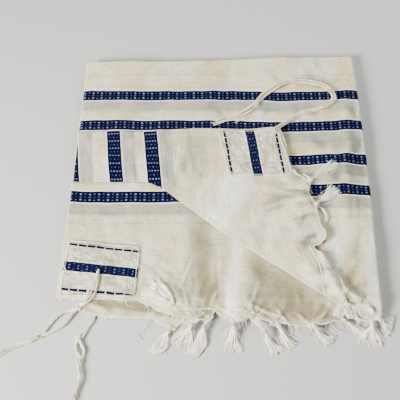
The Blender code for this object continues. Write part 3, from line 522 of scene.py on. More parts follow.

# %% [markdown]
# The light and shade of the folds is painted into the cloth's colour here: painted shade in
# the valleys, under the flap's fold, beside the flap's hem and under the second hem, and
# painted highlight along some ridges and rolled edges. These soft places have the same kind
# of table as the ridges, and their last value is how strong each one is; under zero it is a
# painted highlight. The finish reads them later as an attribute of the mesh.

# %% Painted shade and highlight of the cloth
SECOND_PAINTED_SHADING = rows_of(
    SoftFold,
    (0.227, 0.08, 89, 0.2, 0.018, 0.7),
    (0.204, 0.08, 86, 0.18, 0.012, 0.5),
    (0.352, 0.04, -37, 0.23, 0.034, 0.85),
    (0.241, 0.022, 90, 0.08, 0.018, 0.7),
    (0.303, 0.018, -20, 0.07, 0.018, 0.45),
    (0.345, 0.01, -4, 0.11, 0.017, 0.4),
    (0.273, 0.058, 83, 0.19, 0.015, -1.5),
    (0.125, 0.04, 10, 0.06, 0.014, 0.3),
    (0.09, 0.175, 0, 0.26, 0.05, 0.26),
)
THIRD_PAINTED_SHADING = rows_of(
    SoftFold,
    (0.11, 0.0155, -4, 0.2, 0.0105, 1.3),
    (0.11, -0.004, -2, 0.2, 0.0035, -0.9),
)
TOP_PAINTED_SHADING = rows_of(
    SoftFold,
    (0.479, 0.235, 84, 0.17, 0.024, 0.6),
    (0.49, 0.325, 84, 0.12, 0.02, 0.45),
    (0.504, 0.25, 90, 0.6, 0.005, -1.2),
    (0.437, 0.11, 80, 0.12, 0.017, -1.1),
    (0.464, 0.085, 80, 0.11, 0.012, 0.55),
    (0.492, 0.09, 88, 0.11, 0.012, -0.8),
    (0.4, 0.389, 0, 0.4, 0.012, 0.42),
    (0.44, 0.312, 0, 0.19, 0.013, 0.42),
    (0.245, 0.43, 88, 0.1, 0.012, 0.6),
    (0.442, 0.24, 80, 0.07, 0.012, 0.5),
    (0.448, 0.258, 70, 0.06, 0.016, 0.45),
    (0.467, 0.457, 4, 0.07, 0.012, 0.4),
)
FLAP_PAINTED_SHADING = rows_of(
    SoftFold,
    (0.213, 0.287, 84, 0.12, 0.042, 0.55),
    (0.2445, 0.202, 88, 0.06, 0.012, 0.6),
    (0.398, 0.125, 30, 0.034, 0.01, 0.75),
    (0.404, 0.07, -78, 0.09, 0.005, 0.6),
    (0.264, 0.203, 60, 0.15, 0.032, -1.1),
    (0.35, 0.2, 70, 0.06, 0.02, 0.55),
    (0.394, 0.239, -23, 0.05, 0.003, 0.75),
    (0.388, 0.212, -4, 0.056, 0.003, 0.8),
    (0.39, 0.189, 13, 0.046, 0.003, 0.75),
    (0.384, 0.162, 24, 0.056, 0.004, 0.6),
)
print("shades:", len(SECOND_PAINTED_SHADING + THIRD_PAINTED_SHADING + TOP_PAINTED_SHADING + FLAP_PAINTED_SHADING))

# %% [markdown]
# Loosely woven cotton never lies quite flat: it keeps small, uneven ripples, more of them
# near a hem. A little smooth noise, stronger towards the hem, gives each layer its own.
# Now we can write each layer's full height as a function of the place on the pile.

# %% Heights with ripples
SeamPoint = namedtuple("SeamPoint", "y x")
# The raised seam that runs beside the lower part of the flap's hem.
FLAP_SEAM = rows_of(
    SeamPoint,
    (0.029, 0.41), (0.04, 0.4088), (0.054, 0.4082), (0.07, 0.4066),
    (0.0854, 0.4035), (0.096, 0.3985), (0.106, 0.3954), (0.112, 0.3925),
)
RUFFLE = 0.0026
RUFFLE_TURNS = 2 * math.pi / 0.0150
# The y where the ruffled strip ends, and the metres over which it fades there.
RUFFLE_TIP = (0.010, 0.020)
RUFFLE_TOP = (0.120, 0.015)
RUFFLE_RISE = 0.009  # metres beyond the seam
SWELL = 0.0034
RIPPLE = 0.0012
HEM_RIPPLE = 0.0022
HEM_RIPPLE_REACH = 0.045
PRESSED_REACH = 0.025
PRESSED_PITCH = 0.0012


def swell(x, y):
    """The slow rise and fall of a pile that was never pressed."""
    return SWELL * (0.4 + noise.noise(Vector((x * 11 + 2.0, y * 8, 3.7))))


def crumple(x, y, layer):
    """Uneven ripples of a soft cloth, from about -0.4 to 1.6."""
    slow = noise.noise(Vector((x * 20, y * 13, layer * 7.3)))
    quick = noise.noise(Vector((x * 58, y * 34, layer * 5.1)))
    return slow + 0.65 * quick + 0.6


def ruffle(x, y):
    """The gathers that the raised seam pulls into the strip between it and the hem."""
    beyond = ease((x - row_at(FLAP_SEAM, y)[1]) / RUFFLE_RISE)
    along = ease((RUFFLE_TOP[0] - y) / RUFFLE_TOP[1]) * ease((y - RUFFLE_TIP[0]) / RUFFLE_TIP[1])
    waver = 2.2 * noise.noise(Vector((y * 45, 2.7, 0.0)))
    return RUFFLE * (0.5 + 0.5 * math.sin(y * RUFFLE_TURNS + waver)) * beyond * along


def third_height(x, y):
    """Height of the third layer's middle over the table."""
    flat = HIDDEN_HEIGHT + SEAM_GAP + CLOTH_WALL / 2
    drooped = flat - DROOP_HEIGHT * ease((DROOP_START_Y - y) / DROOP_RUN)
    return drooped + RIPPLE * crumple(x, y, 3) + fold_height(THIRD_FOLDS, x, y)


def second_height(x, y):
    _, hem_y, hem_lift = row_at(SECOND_HEM, x)
    near_hem = bell((y - hem_y) / HEM_WAVE_REACH)
    ripple = hem_lift * near_hem + fold_height(SECOND_FOLDS + SECOND_CREASES, x, y)
    close = bell((y - hem_y) / HEM_RIPPLE_REACH)
    crumpled = (RIPPLE + HEM_RIPPLE * close) * crumple(x, y, 2)
    gathered = gather_height(("second", "on_second", "third"), x, y)
    own = ripple + crumpled + gathered + max(swell(x, y), 0.0) * ease((y + 0.01) / 0.06)
    return third_height(x, y) + LAYER_PITCH + own


def top_height(x, y):
    own = fold_height(TOP_FOLDS + TOP_CREASES, x, y) + RIPPLE * crumple(x, y, 1)
    return second_height(x, y) + LAYER_PITCH + own + gather_height(("top",), x, y)


def pressed(x, y):
    """0 on the flap's folded edge, where the layers are pressed together, and 1 away from it."""
    folds = [(section.fold_x, section.fold_y) for section in TOP_SECTIONS]
    return ease((y - row_at(folds, x)[1]) / PRESSED_REACH)


def flap_height(x, y):
    """Height of the flap, which is a layer higher where its selvedge is tucked under it."""
    inner_end = flap_far_edge(x) - TUCK_DEPTH - TUCK_STEP
    tucked = LAYER_PITCH * ease((y - inner_end) / TUCK_STEP)
    lift = tucked + flap_hem_lift(x, y) + fold_height(FLAP_FOLDS + FLAP_CREASES, x, y)
    lift += gather_height(("flap",), x, y) + ruffle(x, y)
    close = bell((flap_hem_x(y) - x) / HEM_RIPPLE_REACH)
    crumpled = (RIPPLE + HEM_RIPPLE * close) * crumple(x, y, 5)
    free = LAYER_PITCH - PRESSED_PITCH + lift + crumpled
    return top_height(x, y) + PRESSED_PITCH + free * pressed(x, y)


print("pile height at its middle:", round(flap_height(0.3, 0.2) * 1000, 1), "mm")

# %% [markdown]
# A sheet starts as a flat grid. Each of its columns is one section through the folds, and
# we move the grid's vertices onto those points. The grid also carries a map, in metres of
# cloth, which the weave and the stripes follow round every fold. A thin wall comes last.

# %% Make a sheet from sections
CLOTH_THICKNESS = 0.0009
HOLLOW_DEPTH = 0.0011
HOLLOW_STEPS = ((-3, 0), (3, 0), (0, -3), (0, 3))


def world_place(point):
    return PILE_CORNER + Vector(point)


def add_uv(face, layer, where, maps):
    for loop in face.loops:
        column, row = where[loop.vert]
        loop[layer].uv = maps[column][row]


def hollow(columns, column, row):
    """How far a place lies under its surroundings, from -1 to 1; it sets the painted shade in hollows and
    the painted highlight on ridges.
    """
    last_column, last_row = len(columns) - 1, len(columns[0]) - 1
    around_it = [
        columns[min(max(column + step_x, 0), last_column)][min(max(row + step_y, 0), last_row)][2]
        for step_x, step_y in HOLLOW_STEPS
    ]
    depth = sum(around_it) / 4 - columns[column][row][2]
    return min(max(depth / HOLLOW_DEPTH, -1.0), 1.0)


def sheet(name, columns, maps, painted_shading_tables, reverse_rows=0, reverse_maps=None):
    """A grid on the columns' points. Its first rows may show the cloth's reverse.

    The painted shade and highlight come in two lists, one for the face and one for the reverse.
    """
    bm = bmesh.new()
    across, along = len(columns) - 1, len(columns[0]) - 1
    bmesh.ops.create_grid(bm, x_segments=across, y_segments=along, size=0.5)
    layer = bm.loops.layers.uv.new("cloth")
    tone = bm.verts.layers.float.new("tone")
    where = {}
    for vert in bm.verts:
        where[vert] = (round((vert.co.x + 0.5) * across), round((vert.co.y + 0.5) * along))
    for face in bm.faces:
        first_row = min(where[vert][1] for vert in face.verts)
        on_reverse = first_row < reverse_rows
        face.material_index = int(on_reverse)
        add_uv(face, layer, where, reverse_maps if on_reverse else maps)
    for vert, (column, row) in where.items():
        x, y, _ = columns[column][row]
        # Painted light: painted shade in the cloth's hollows and painted highlight on its ridges, plus the
        # tables of painted shade and highlight.
        vert[tone] = 0.5 * hollow(columns, column, row) + fold_height(painted_shading_tables[row < reverse_rows], x, y)
        vert.co = world_place(columns[column][row])
    return finish_mesh(name, bm)


def finish_mesh(name, bm):
    bmesh.ops.recalc_face_normals(bm, faces=bm.faces)
    mesh = bpy.data.meshes.new(name)
    bm.to_mesh(mesh)
    bm.free()
    mesh.shade_smooth()
    obj = bpy.data.objects.new(name, mesh)
    bpy.context.scene.collection.objects.link(obj)
    return obj


def give_wall(obj, thickness):
    wall = obj.modifiers.new("wall", "SOLIDIFY")
    wall.thickness = thickness
    wall.offset = 0.0


def dress(obj, nodes, materials):
    """The piece stands for these solids, rides with the part and takes its materials."""
    for material in materials:
        obj.data.materials.append(material)
    if nodes:
        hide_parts(*nodes)
    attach(obj, "root")


# %% [markdown]
# Shader maths reads best as ordinary sums. A small class wraps a socket, so that
# `1 - mask` adds the Math node for us, and one method adds any other node.

# %% Sums on sockets
class Wire:
    """A socket that can stand in a sum."""

    def __init__(self, socket):
        self.socket = socket

    def maths(self, operation, *values):
        tree = self.socket.id_data
        node = tree.nodes.new("ShaderNodeMath")
        node.operation = operation
        for index, value in enumerate((self, *values)):
            connect(tree, node.inputs[index], value)
        return Wire(node.outputs[0])

    def __add__(self, other):
        return self.maths("ADD", other)

    def __mul__(self, other):
        return self.maths("MULTIPLY", other)

    def __sub__(self, other):
        return self.maths("SUBTRACT", other)

    def __truediv__(self, other):
        return self.maths("DIVIDE", other)

    def __rsub__(self, other):
        return self * -1 + other

    __radd__ = __add__
    __rmul__ = __mul__


def connect(tree, socket, value):
    if isinstance(value, Wire):
        tree.links.new(value.socket, socket)
    else:
        socket.default_value = value


class Finish:
    """One material, and the method that adds a node to it."""

    def __init__(self, name, roughness):
        self.material = bpy.data.materials.new(name)
        self.material.use_nodes = True
        self.tree = self.material.node_tree
        self.shader = self.tree.nodes["Principled BSDF"]
        self.shader.inputs["Roughness"].default_value = roughness
        self.shader.inputs["Metallic"].default_value = 0.0
        self.shader.inputs["Specular IOR Level"].default_value = 0.03
        self.shader.inputs["Sheen Weight"].default_value = 0.01
        self.shader.inputs["Sheen Roughness"].default_value = 0.6

    def add(self, kind, settings=None, inputs=None, output=0):
        node = self.tree.nodes.new(kind)
        for key, value in (settings or {}).items():
            setattr(node, key, value)
        for key, value in (inputs or {}).items():
            connect(self.tree, node.inputs[key], value)
        return Wire(node.outputs[output])

    def blend(self, share, first, second):
        """A mix of two colours by a share from 0 to 1."""
        return self.add(
            "ShaderNodeMix", {"data_type": "RGBA"}, {0: share, 6: first, 7: second}, output=2
        )

    def step(self, value, low, high):
        """0 below low, 1 above high, and a smooth rise between."""
        return self.add(
            "ShaderNodeMapRange",
            {"interpolation_type": "SMOOTHSTEP"},
            {"Value": value, "From Min": low, "From Max": high},
        )

    def cloud(self, vector, scale, detail=2.0, roughness=0.5):
        """Smooth noise about 0.5."""
        return self.add(
            "ShaderNodeTexNoise",
            {},
            {"Vector": vector, "Scale": scale, "Detail": detail, "Roughness": roughness},
        )

    def at(self, x, y):
        return self.add("ShaderNodeCombineXYZ", {}, {"X": x, "Y": y})

    def grain(self, x, y, detail=1.0, roughness=0.5):
        """Smooth noise about 0.5, by a place that is already in steps of the noise."""
        return self.cloud(self.at(x, y), 1.0, detail, roughness)

    def map_axes(self, layer):
        uv = self.add("ShaderNodeUVMap", {"uv_map": layer})
        return [
            self.add("ShaderNodeSeparateXYZ", {}, {"Vector": uv}, output=axis)
            for axis in range(2)
        ]

    def end(self, color, height, depth):
        """Plugs the colour and the relief into the shader."""
        bump = self.add(
            "ShaderNodeBump", {}, {"Height": height, "Distance": depth, "Strength": 1.0}
        )
        connect(self.tree, self.shader.inputs["Base Color"], color)
        connect(self.tree, self.shader.inputs["Normal"], bump)
        return self.material


# %% [markdown]
# The cloth is a plain weave of natural cotton. Warp and weft pass over each other in
# turn, and hand-spun yarn has thin and thick places, called slubs. We draw both yarns as
# rows of rounded ridges in cloth metres and stretch noise along each yarn for the slubs.
# A wider noise adds the crumples of a cloth that was never ironed. The numbers that u and
# v are multiplied by say how fine each noise is, in steps a metre.

# %% Colours of the yarns
def linear(hexed):
    """Scene colour of a six-figure screen colour."""
    values = [int(hexed[i:i + 2], 16) / 255 for i in (0, 2, 4)]
    return (*[v / 12.92 if v < 0.04045 else ((v + 0.055) / 1.055) ** 2.4 for v in values], 1.0)


CREAM = linear("F1E9C6")
CREAM_WARM = linear("E0CF9C")
CREAM_COOL = linear("E6E4CC")
CREAM_GREY = linear("A6A99C")
# The next two colours are painted shade for the folds. The pale cream after them is the woven border of a
# band, the turned-in rim of a patch and painted highlight.
CREAM_PAINTED_SHADE = linear("938B69")
GREY_PAINTED_SHADE = linear("8C8B7E")
CREAM_PALE_AND_HIGHLIGHT = linear("FEFCF0")
PATCH_CREAM = linear("E0DDC6")
PATCH_TAN = linear("C8C0A0")
GREY_YARN = linear("5E5C60")
NAVY = linear("020320")
NAVY_LIGHT = linear("0D1550")
DASH_NAVY = linear("050A30")
WHITE_YARN = linear("8491C0")
YARN_PITCH = 0.0011
print("navy in scene colour:", [round(value, 4) for value in NAVY])

# %% Plain weave
def plain_weave(finish, u, v, crumpled=0.75):
    """The relief of the cloth, and a shade about 1 for its colour, which is partly painted shading of that
    relief. More crumpled is less even.
    """
    warp_wave = (u * (math.pi / YARN_PITCH)).maths("SINE")
    weft_wave = (v * (math.pi / YARN_PITCH)).maths("SINE")
    over = finish.step(warp_wave * weft_wave, -0.35, 0.35)
    warp_slub = finish.grain(u * 900, v * 26)
    weft_slub = finish.grain(u * 26, v * 900)
    warp = warp_wave.maths("ABSOLUTE") * (0.55 + warp_slub * 0.6)
    weft = weft_wave.maths("ABSOLUTE") * (0.55 + weft_slub * 0.6)
    relief = warp * over + weft * (1 - over)
    crepe = finish.grain(u * 150, v * 260, 3.0, 0.65)
    streak = finish.grain(u * 22, v * 420)
    rib = finish.grain(u * 420, v * 22)
    # The shade is lighter where the slubs are thick, and it paints shading that follows the relief:
    # lighter on the yarns' crowns and on the rises of the crepe, crumples, streaks and ribs, which the
    # height below also raises.
    shade = 0.86 + relief * 0.10 + (warp_slub + weft_slub - 1.0) * 0.30
    mottle = finish.step(crepe, 0.36, 0.64)
    crumple = finish.grain(u * 62 + 3.0, v * 80, 3.0, 0.6)
    painted_crumple_shade = (mottle - 0.5) * 0.11 + (finish.step(crumple, 0.36, 0.64) - 0.5) * 0.12
    shade = shade + painted_crumple_shade * crumpled + (streak * 1.2 + rib * 0.8 - 1.0) * 0.19
    height = relief * 0.5 + (crepe * 1.8 + crumple * 4.0) * crumpled + streak * 0.6 + rib * 0.4
    return height, shade + 0.06


def scaled(finish, color, shade):
    """A colour made lighter or darker by a shade about 1."""
    return finish.add("ShaderNodeVectorMath", {"operation": "SCALE"}, {0: color, "Scale": shade})


# %% [markdown]
# The wide navy bands are woven in with a small repeat. On the face, a bright dot sits
# near each edge of the band with a faint one between, and smaller dots stand half a
# repeat away. On the reverse the same yarns show as rows of four dots. Thin dotted lines
# run beside the bands where a dark yarn dips in and out of the cream.
#
# The repeat is charted as places across and along the band.

# %% Chart of the bands
BAND_WIDTH = 0.0214
MOTIF_REPEAT = 0.0151
DASH_TURNS = 2 * math.pi / 0.0044
Dot = namedtuple("Dot", "along across width height light")
# along is the share of a repeat; across is the distance from the band's middle.
FACE_DOTS = rows_of(
    Dot,
    (0.5, 0.0052, 0.0018, 0.0015, 0.95),
    (0.5, 0.0, 0.002, 0.001, 0.4),
    (0.0, 0.006, 0.0013, 0.001, 0.6),
    (0.0, 0.0, 0.0011, 0.0008, 0.3),
)
REVERSE_DOTS = rows_of(
    Dot,
    (0.5, 0.0025, 0.0011, 0.0014, 0.95),
    (0.5, 0.0072, 0.0011, 0.0014, 0.95),
    (0.0, 0.0, 0.0011, 0.001, 0.6),
    (0.0, 0.0058, 0.001, 0.0008, 0.35),
)
print("dots in a repeat of", MOTIF_REPEAT, "m:", len(FACE_DOTS), "and", len(REVERSE_DOTS))

# %% Band colours
def distance_to_lines(v, places):
    """How far v lies from the nearest of these places."""
    nearest = (v - places[0]).maths("ABSOLUTE")
    for place in places[1:]:
        nearest = nearest.maths("MINIMUM", (v - place).maths("ABSOLUTE"))
    return nearest


def edge_line(finish, distance, place, low, high):
    """1 at this distance from a line, and 0 once it is further off than high."""
    return 1 - finish.step((distance - place).maths("ABSOLUTE"), low, high)


def band_color(finish, u, across, dots, repeat=MOTIF_REPEAT, light_yarn=NAVY_LIGHT):
    """The navy band's colour, with its dots, by place along and from its middle."""
    phase = u / repeat
    cell = (phase * 2 + 0.5).maths("FLOOR")
    fleck = finish.grain(u * 1500, across * 1500, 0.0)
    lattice = (u * 3500).maths("SINE") * (across * 3500).maths("SINE")
    light = finish.step(lattice + fleck * 1.2, 0.75, 1.6)
    color = finish.blend(light * 0.7, NAVY, light_yarn)
    luck = finish.add(
        "ShaderNodeTexWhiteNoise",
        {"noise_dimensions": "2D"},
        {"Vector": finish.at(cell, (across * 250).maths("FLOOR"))},
    )
    bright = 0.0
    for dot in dots:
        along = ((phase + (0.5 - dot.along)).maths("FRACT") - 0.5) * (repeat / dot.width)
        aside = (across - dot.across) / dot.height
        far = along * along + aside * aside
        bright = (1 - finish.step(far, 0.25, 1.6)) * dot.light + bright
    bright = bright * (0.55 + luck * 0.6)
    return finish.blend(bright.maths("MINIMUM", 1.0), color, WHITE_YARN)


# %% [markdown]
# One function makes the finish of every layer. From the ground up it lays warm and cool
# cream in soft clouds, the grey strip below each band, the painted shade and painted
# highlight that the mesh carries, the dotted lines and last the bands. A band stands up a
# little, as its yarn is thicker.

# %% Cloth finish
GREY_STRIP = (0.038, 0.032, 0.014, 0.009)  # metres below a band's middle, where it fades in and out
LINE_WAVER = 0.0022
BAND_RELIEF = 0.8


def cloth_finish(name, bands, dotted, dots, phase=0.0, width=BAND_WIDTH, painted_shade_color=CREAM_PAINTED_SHADE):
    """Cream hand-woven cloth with navy bands and thin dotted lines at these places."""
    finish = Finish(name, 0.92)
    u, v = finish.map_axes("cloth")
    waver = finish.grain(u * 16, v * 5) - 0.5
    line_v = v + waver * LINE_WAVER
    relief, shade = plain_weave(finish, u, v)
    clouds = finish.grain(u * 17, v * 13, 3.0, 0.55)
    coolness = finish.step(clouds, 0.36, 0.64)
    cream = finish.blend(coolness, CREAM_WARM, CREAM_COOL)
    soft = finish.grain(v * 9 + 4.0, u * 11, 2.0)
    cream = finish.blend(finish.step(soft, 0.35, 0.7) * 0.6, cream, CREAM)
    start, full, fading, end = GREY_STRIP
    for place in bands:
        below = finish.step(line_v, place - start, place - full)
        below = below * (1 - finish.step(line_v, place - fading, place - end))
        cream = finish.blend(below * (0.62 + coolness * 0.38), cream, CREAM_GREY)
    # Painted shade towards the shade colour, and painted highlight towards the pale cream, by the mesh's
    # attribute.
    tone = finish.add("ShaderNodeAttribute", {"attribute_name": "tone"}, output=2)
    cream = finish.blend(finish.step(tone, 0.0, 1.1), cream, painted_shade_color)
    cream = finish.blend(finish.step(tone * -1, 0.0, 1.0) * 0.85, cream, CREAM_PALE_AND_HIGHLIGHT)
    if dotted:
        near = distance_to_lines(line_v, dotted)
        line = 1 - finish.step(near, 0.0005, 0.0011)
        dash = finish.step((u * DASH_TURNS).maths("SINE"), 0.0, 0.6)
        patchy = finish.step(finish.grain(u * 30, v * 400, 0.0), 0.3, 0.6)
        cream = finish.blend(line * dash * (0.30 + patchy * 0.6), cream, GREY_YARN)
    color = scaled(finish, cream, shade)
    if bands:
        across = distance_to_lines(line_v, bands)
        half = width / 2
        border = edge_line(finish, across, half + 0.0011, 0.0006, 0.0018)
        color = finish.blend(border * 0.7, color, CREAM_PALE_AND_HIGHLIGHT)
        inside = 1 - finish.step(across, half - 0.0003, half + 0.0003)
        color = finish.blend(inside, color, band_color(finish, u + phase, across, dots))
        relief = relief + inside * BAND_RELIEF
    return finish.end(color, relief, 0.0009)


# %% [markdown]
# The visible lengths of each layer are woven alike, but a folded cloth shows its bands at
# slightly different places, so each layer has its own list: the distances, in metres from
# the near edge of the pile, of the middles of its bands and of its dotted lines.

# %% Finishes of the layers
TOP_BANDS = (0.2183, 0.2813, 0.3538, 0.4218)
TOP_DOTTED = (0.167, 0.184, 0.250, 0.320, 0.384, 0.442, 0.471)
SECOND_DOTTED = (0.1685, 0.1890)
FLAP_DOTTED = (0.1520, 0.1797, 0.1949, 0.250, 0.320)
FLAP_BAND_WIDTH = 0.0228
top_cloth = cloth_finish("top_cloth", TOP_BANDS, TOP_DOTTED, FACE_DOTS, -0.0050, painted_shade_color=GREY_PAINTED_SHADE)
flap_cloth = cloth_finish(
    "flap_cloth", TOP_BANDS, FLAP_DOTTED, REVERSE_DOTS, -0.0045, FLAP_BAND_WIDTH, GREY_PAINTED_SHADE
)
second_cloth = cloth_finish("second_cloth", TOP_BANDS, SECOND_DOTTED, FACE_DOTS)
plain_cloth = cloth_finish("plain_cloth", (), (), FACE_DOTS)
print("cloth finishes:", [m.name for m in (top_cloth, flap_cloth, second_cloth, plain_cloth)])

# %% [markdown]
# The top layer is the hardest sheet. One section through it starts in the tucked
# selvedge under the flap, rolls over the flap's far edge, runs down to the fold, rolls
# again and crosses the pile to its outer edge, where it rolls down over the side. Side by
# side, these sections fan from the left edge round to the hem.

# %% Points of a section
Point = namedtuple("Point", "place unrolled")


def turned(direction, angle):
    return Vector((
        direction.x * math.cos(angle) - direction.y * math.sin(angle),
        direction.x * math.sin(angle) + direction.y * math.cos(angle),
    ))


def point_at(spot, height, unrolled=None):
    return Point((spot.x, spot.y, height), unrolled or spot)


def half_roll(centre, outward, top, bottom, steps):
    """A fold's half circle, from its top run to its bottom run, ends left out."""
    radius = (top - bottom) / 2
    points = []
    for step in range(1, steps):
        angle = math.pi * step / steps
        spot = centre + outward * radius * math.sin(angle)
        height = (top + bottom) / 2 + radius * math.cos(angle)
        points.append(point_at(spot, height, centre + outward * radius * angle))
    return points


def edge_roll(edge, outward, radius, foot, steps):
    """The points that take the top layer down over the pile's edge, towards its foot."""
    start = edge - outward * radius
    top = top_height(start.x, start.y)
    middle, half = (top + foot) / 2, (top - foot) / 2
    points = []
    for step in range(steps + 1):
        angle = ROLL_END_ANGLE * step / steps
        spot = start + outward * radius * math.sin(angle)
        unrolled = start + outward * (radius + half) / 2 * angle
        points.append(point_at(spot, middle + half * math.cos(angle), unrolled))
    return points


def top_row(share):
    """The top layer's section values at this share of the way from left edge to hem."""
    return Section(*curve_through(TOP_SECTIONS, share))


def outward_at(share, x_column, y_column):
    """The unit normal, away from the cloth, of one of the sections' three edge lines."""
    step = 0.01
    low, high = top_row(max(share - step, 0.0)), top_row(min(share + step, 1.0))
    run_x = getattr(high, x_column) - getattr(low, x_column)
    run_y = getattr(high, y_column) - getattr(low, y_column)
    return Vector((run_x, run_y)).normalized()


def flap_spot(share, start, end, t):
    """A place on the flap, t of the way from its fold to its far edge."""
    wave_out = row_at(FLAP_HEM_WAVES, t)[1] + pull("flap", t, (end - start).length) * 0.8
    wave_out += scallop(start.lerp(end, t).y)
    strength = ease(1 - (1 - share) / FLAP_WAVE_REACH)
    return start.lerp(end, t) + Vector((wave_out * strength, 0.0))


print("far right corner of the pile:", top_row(FAR_RIGHT / (len(TOP_SECTIONS) - 1))[4:])

# %% Sections of the flap and the top face
TUCK_ROWS = 5
FAR_ROLL_STEPS = 8
FLAP_ROWS = 80
FOLD_ROLL_STEPS = 10
FACE_ROWS = 90
EDGE_ROLL_STEPS = 12


def flap_points(share, fold_start, tuck_start, tuck_out):
    """The tucked selvedge, the far roll and the flap, down to where the fold starts."""
    tuck_end = tuck_start + (fold_start - tuck_start).normalized() * TUCK_DEPTH
    upper = flap_height(*tuck_start)
    lower = top_height(*tuck_start) + LAYER_PITCH
    half_turn = math.pi * (upper - lower) / 2
    points = []
    for row in range(TUCK_ROWS + 1):
        t = 1 - row / TUCK_ROWS
        spot = tuck_start.lerp(tuck_end, t)
        unrolled = tuck_start + tuck_out * (half_turn + TUCK_DEPTH * t)
        points.append(point_at(spot, top_height(*spot) + LAYER_PITCH, unrolled))
    points += half_roll(tuck_start, tuck_out, upper, lower, FAR_ROLL_STEPS)[::-1]
    for row in range(FLAP_ROWS + 1):
        spot = flap_spot(share, fold_start, tuck_start, 1 - row / FLAP_ROWS)
        points.append(point_at(spot, flap_height(*spot)))
    return points


def top_section(share):
    """One section of the top layer, and how many of its rows show the cloth's reverse."""
    section = top_row(share)
    fold_out = turned(outward_at(share, "fold_x", "fold_y"), -math.pi / 2)
    tuck_out = turned(outward_at(share, "tuck_x", "tuck_y"), math.pi / 2)
    edge_out = turned(outward_at(share, "edge_x", "edge_y"), math.pi / 2)
    fold_start = Vector((section.fold_x, section.fold_y)) - fold_out * LAYER_PITCH / 2
    tuck_start = Vector((section.tuck_x, section.tuck_y)) - tuck_out * LAYER_PITCH / 2
    points = flap_points(share, fold_start, tuck_start, tuck_out)
    upper, lower = flap_height(*fold_start), top_height(*fold_start)
    points += half_roll(fold_start, fold_out, upper, lower, FOLD_ROLL_STEPS)
    reverse_rows = len(points)

    turn = ease(abs(edge_out.x))
    radius = FAR_ROLL_RADIUS + (RIGHT_ROLL_RADIUS - FAR_ROLL_RADIUS) * turn
    foot = FAR_ROLL_FOOT + (RIGHT_ROLL_FOOT - FAR_ROLL_FOOT) * turn
    edge = Vector((section.edge_x, section.edge_y))
    roll = edge_roll(edge, edge_out, radius, foot, EDGE_ROLL_STEPS)
    roll_start = edge - edge_out * radius
    bulge = TOP_HEM_BULGE * ease(1 - (1 - share) / 0.12)
    for row in range(FACE_ROWS):
        t = row / FACE_ROWS
        sag = Vector((0.0, bulge * math.sin(math.pi * t)))
        spot = fold_start.lerp(roll_start, t) + sag
        points.append(point_at(spot, top_height(*spot)))
    return points + roll, reverse_rows


# %% [markdown]
# The flap shows the same bands as the face, because it is the same cloth turned over.
# Its bands fan a little, so a place on the flap is slid back along a slanted line to the
# pile's width before it is read as cloth metres.

# %% Cloth map of the flap
SlantRow = namedtuple("SlantRow", "foot slant")
# Slant of the flap's warp, x for each y, by where the warp meets the flap's far edge.
FLAP_SLANTS = rows_of(
    SlantRow,
    (0.0, 0.11), (0.133, 0.11), (0.17, 0.095), (0.201, 0.085), (0.27, 0.14), (0.36, 0.24),
)
FLAP_FAR_Y = 0.334
FLAP_START_Y = 0.342  # where u is 0
# The foot of the first band, the v it shows there, and the cloth metres in a metre of feet.
FIRST_FOOT, FIRST_V, FOOT_STRETCH = 0.133, 0.2190, 0.983
# On the face the bands bow a little near their middle, and sway everywhere.
BAND_BOW, BOW_X, BOW_WIDTH = 0.0048, 0.362, 0.055
BAND_SWAY = 0.0013
SLANT_ROUNDS = 4  # the slant depends on the foot it leads to, so the foot is found in rounds


def flap_map(spot):
    """Cloth metres of a place on the flap: u along its bands, v across them."""
    foot = spot.x
    for _ in range(SLANT_ROUNDS):
        foot = spot.x + row_at(FLAP_SLANTS, foot)[1] * (spot.y - FLAP_FAR_Y)
    return FLAP_START_Y - spot.y, FIRST_V + (FIRST_FOOT - foot) * FOOT_STRETCH


def face_map(spot):
    """Cloth metres of a place on the face."""
    bow = BAND_BOW * bell((spot.x - BOW_X) / BOW_WIDTH)
    sway = BAND_SWAY * noise.noise(Vector((spot.x * 14, spot.y * 22, 0.0)))
    return spot.x, spot.y + bow * ease((spot.y - 0.25) / 0.1) + sway


print("cloth place of the flap's middle:", [round(value, 3) for value in flap_map(Vector((0.3, 0.2)))])

# %% [markdown]
# Now the sections are set side by side, closer together towards the ruffled hem, and one
# sheet takes them all. Its first rows are the flap, so they take the reverse's finish.

# %% Top layer
TOP_STATIONS = 190
STATION_CROWDING = 1.3  # over 1 sets the sections closer together towards the hem
sections = []
for station in range(TOP_STATIONS):
    step = station / (TOP_STATIONS - 1)
    section_points, reverse_rows = top_section(1 - (1 - step) ** STATION_CROWDING)
    sections.append(section_points)
shawl_top = sheet(
    "shawl_top",
    [[point.place for point in column] for column in sections],
    [[face_map(point.unrolled) for point in column] for column in sections],
    (TOP_PAINTED_SHADING, FLAP_PAINTED_SHADING),
    reverse_rows,
    [[flap_map(point.unrolled) for point in column] for column in sections],
)
give_wall(shawl_top, CLOTH_THICKNESS)
dress(shawl_top, ["top_layer"], [top_cloth, flap_cloth])
print("top layer:", len(sections), "sections of", len(sections[0]), "points")

# %% [markdown]
# The second and third layer are full panels. Their hems wander, so the columns start on
# the hem and ease into the pile's straight sides a few centimetres further up.

# %% Panels under the top layer
SECOND_BAND_SHIFT = 0.0115


def pile_right(y):
    edge = sorted((section.edge_y, section.edge_x) for section in TOP_SECTIONS[FAR_RIGHT:])
    return row_at(edge, y)[1]


def pile_far(x):
    return row_at([(section.edge_x, section.edge_y) for section in TOP_SECTIONS[:FAR_RIGHT + 1]], x)[1]


def pile_left(y):
    return row_at(LEFT_OUTLINE, y)[1]


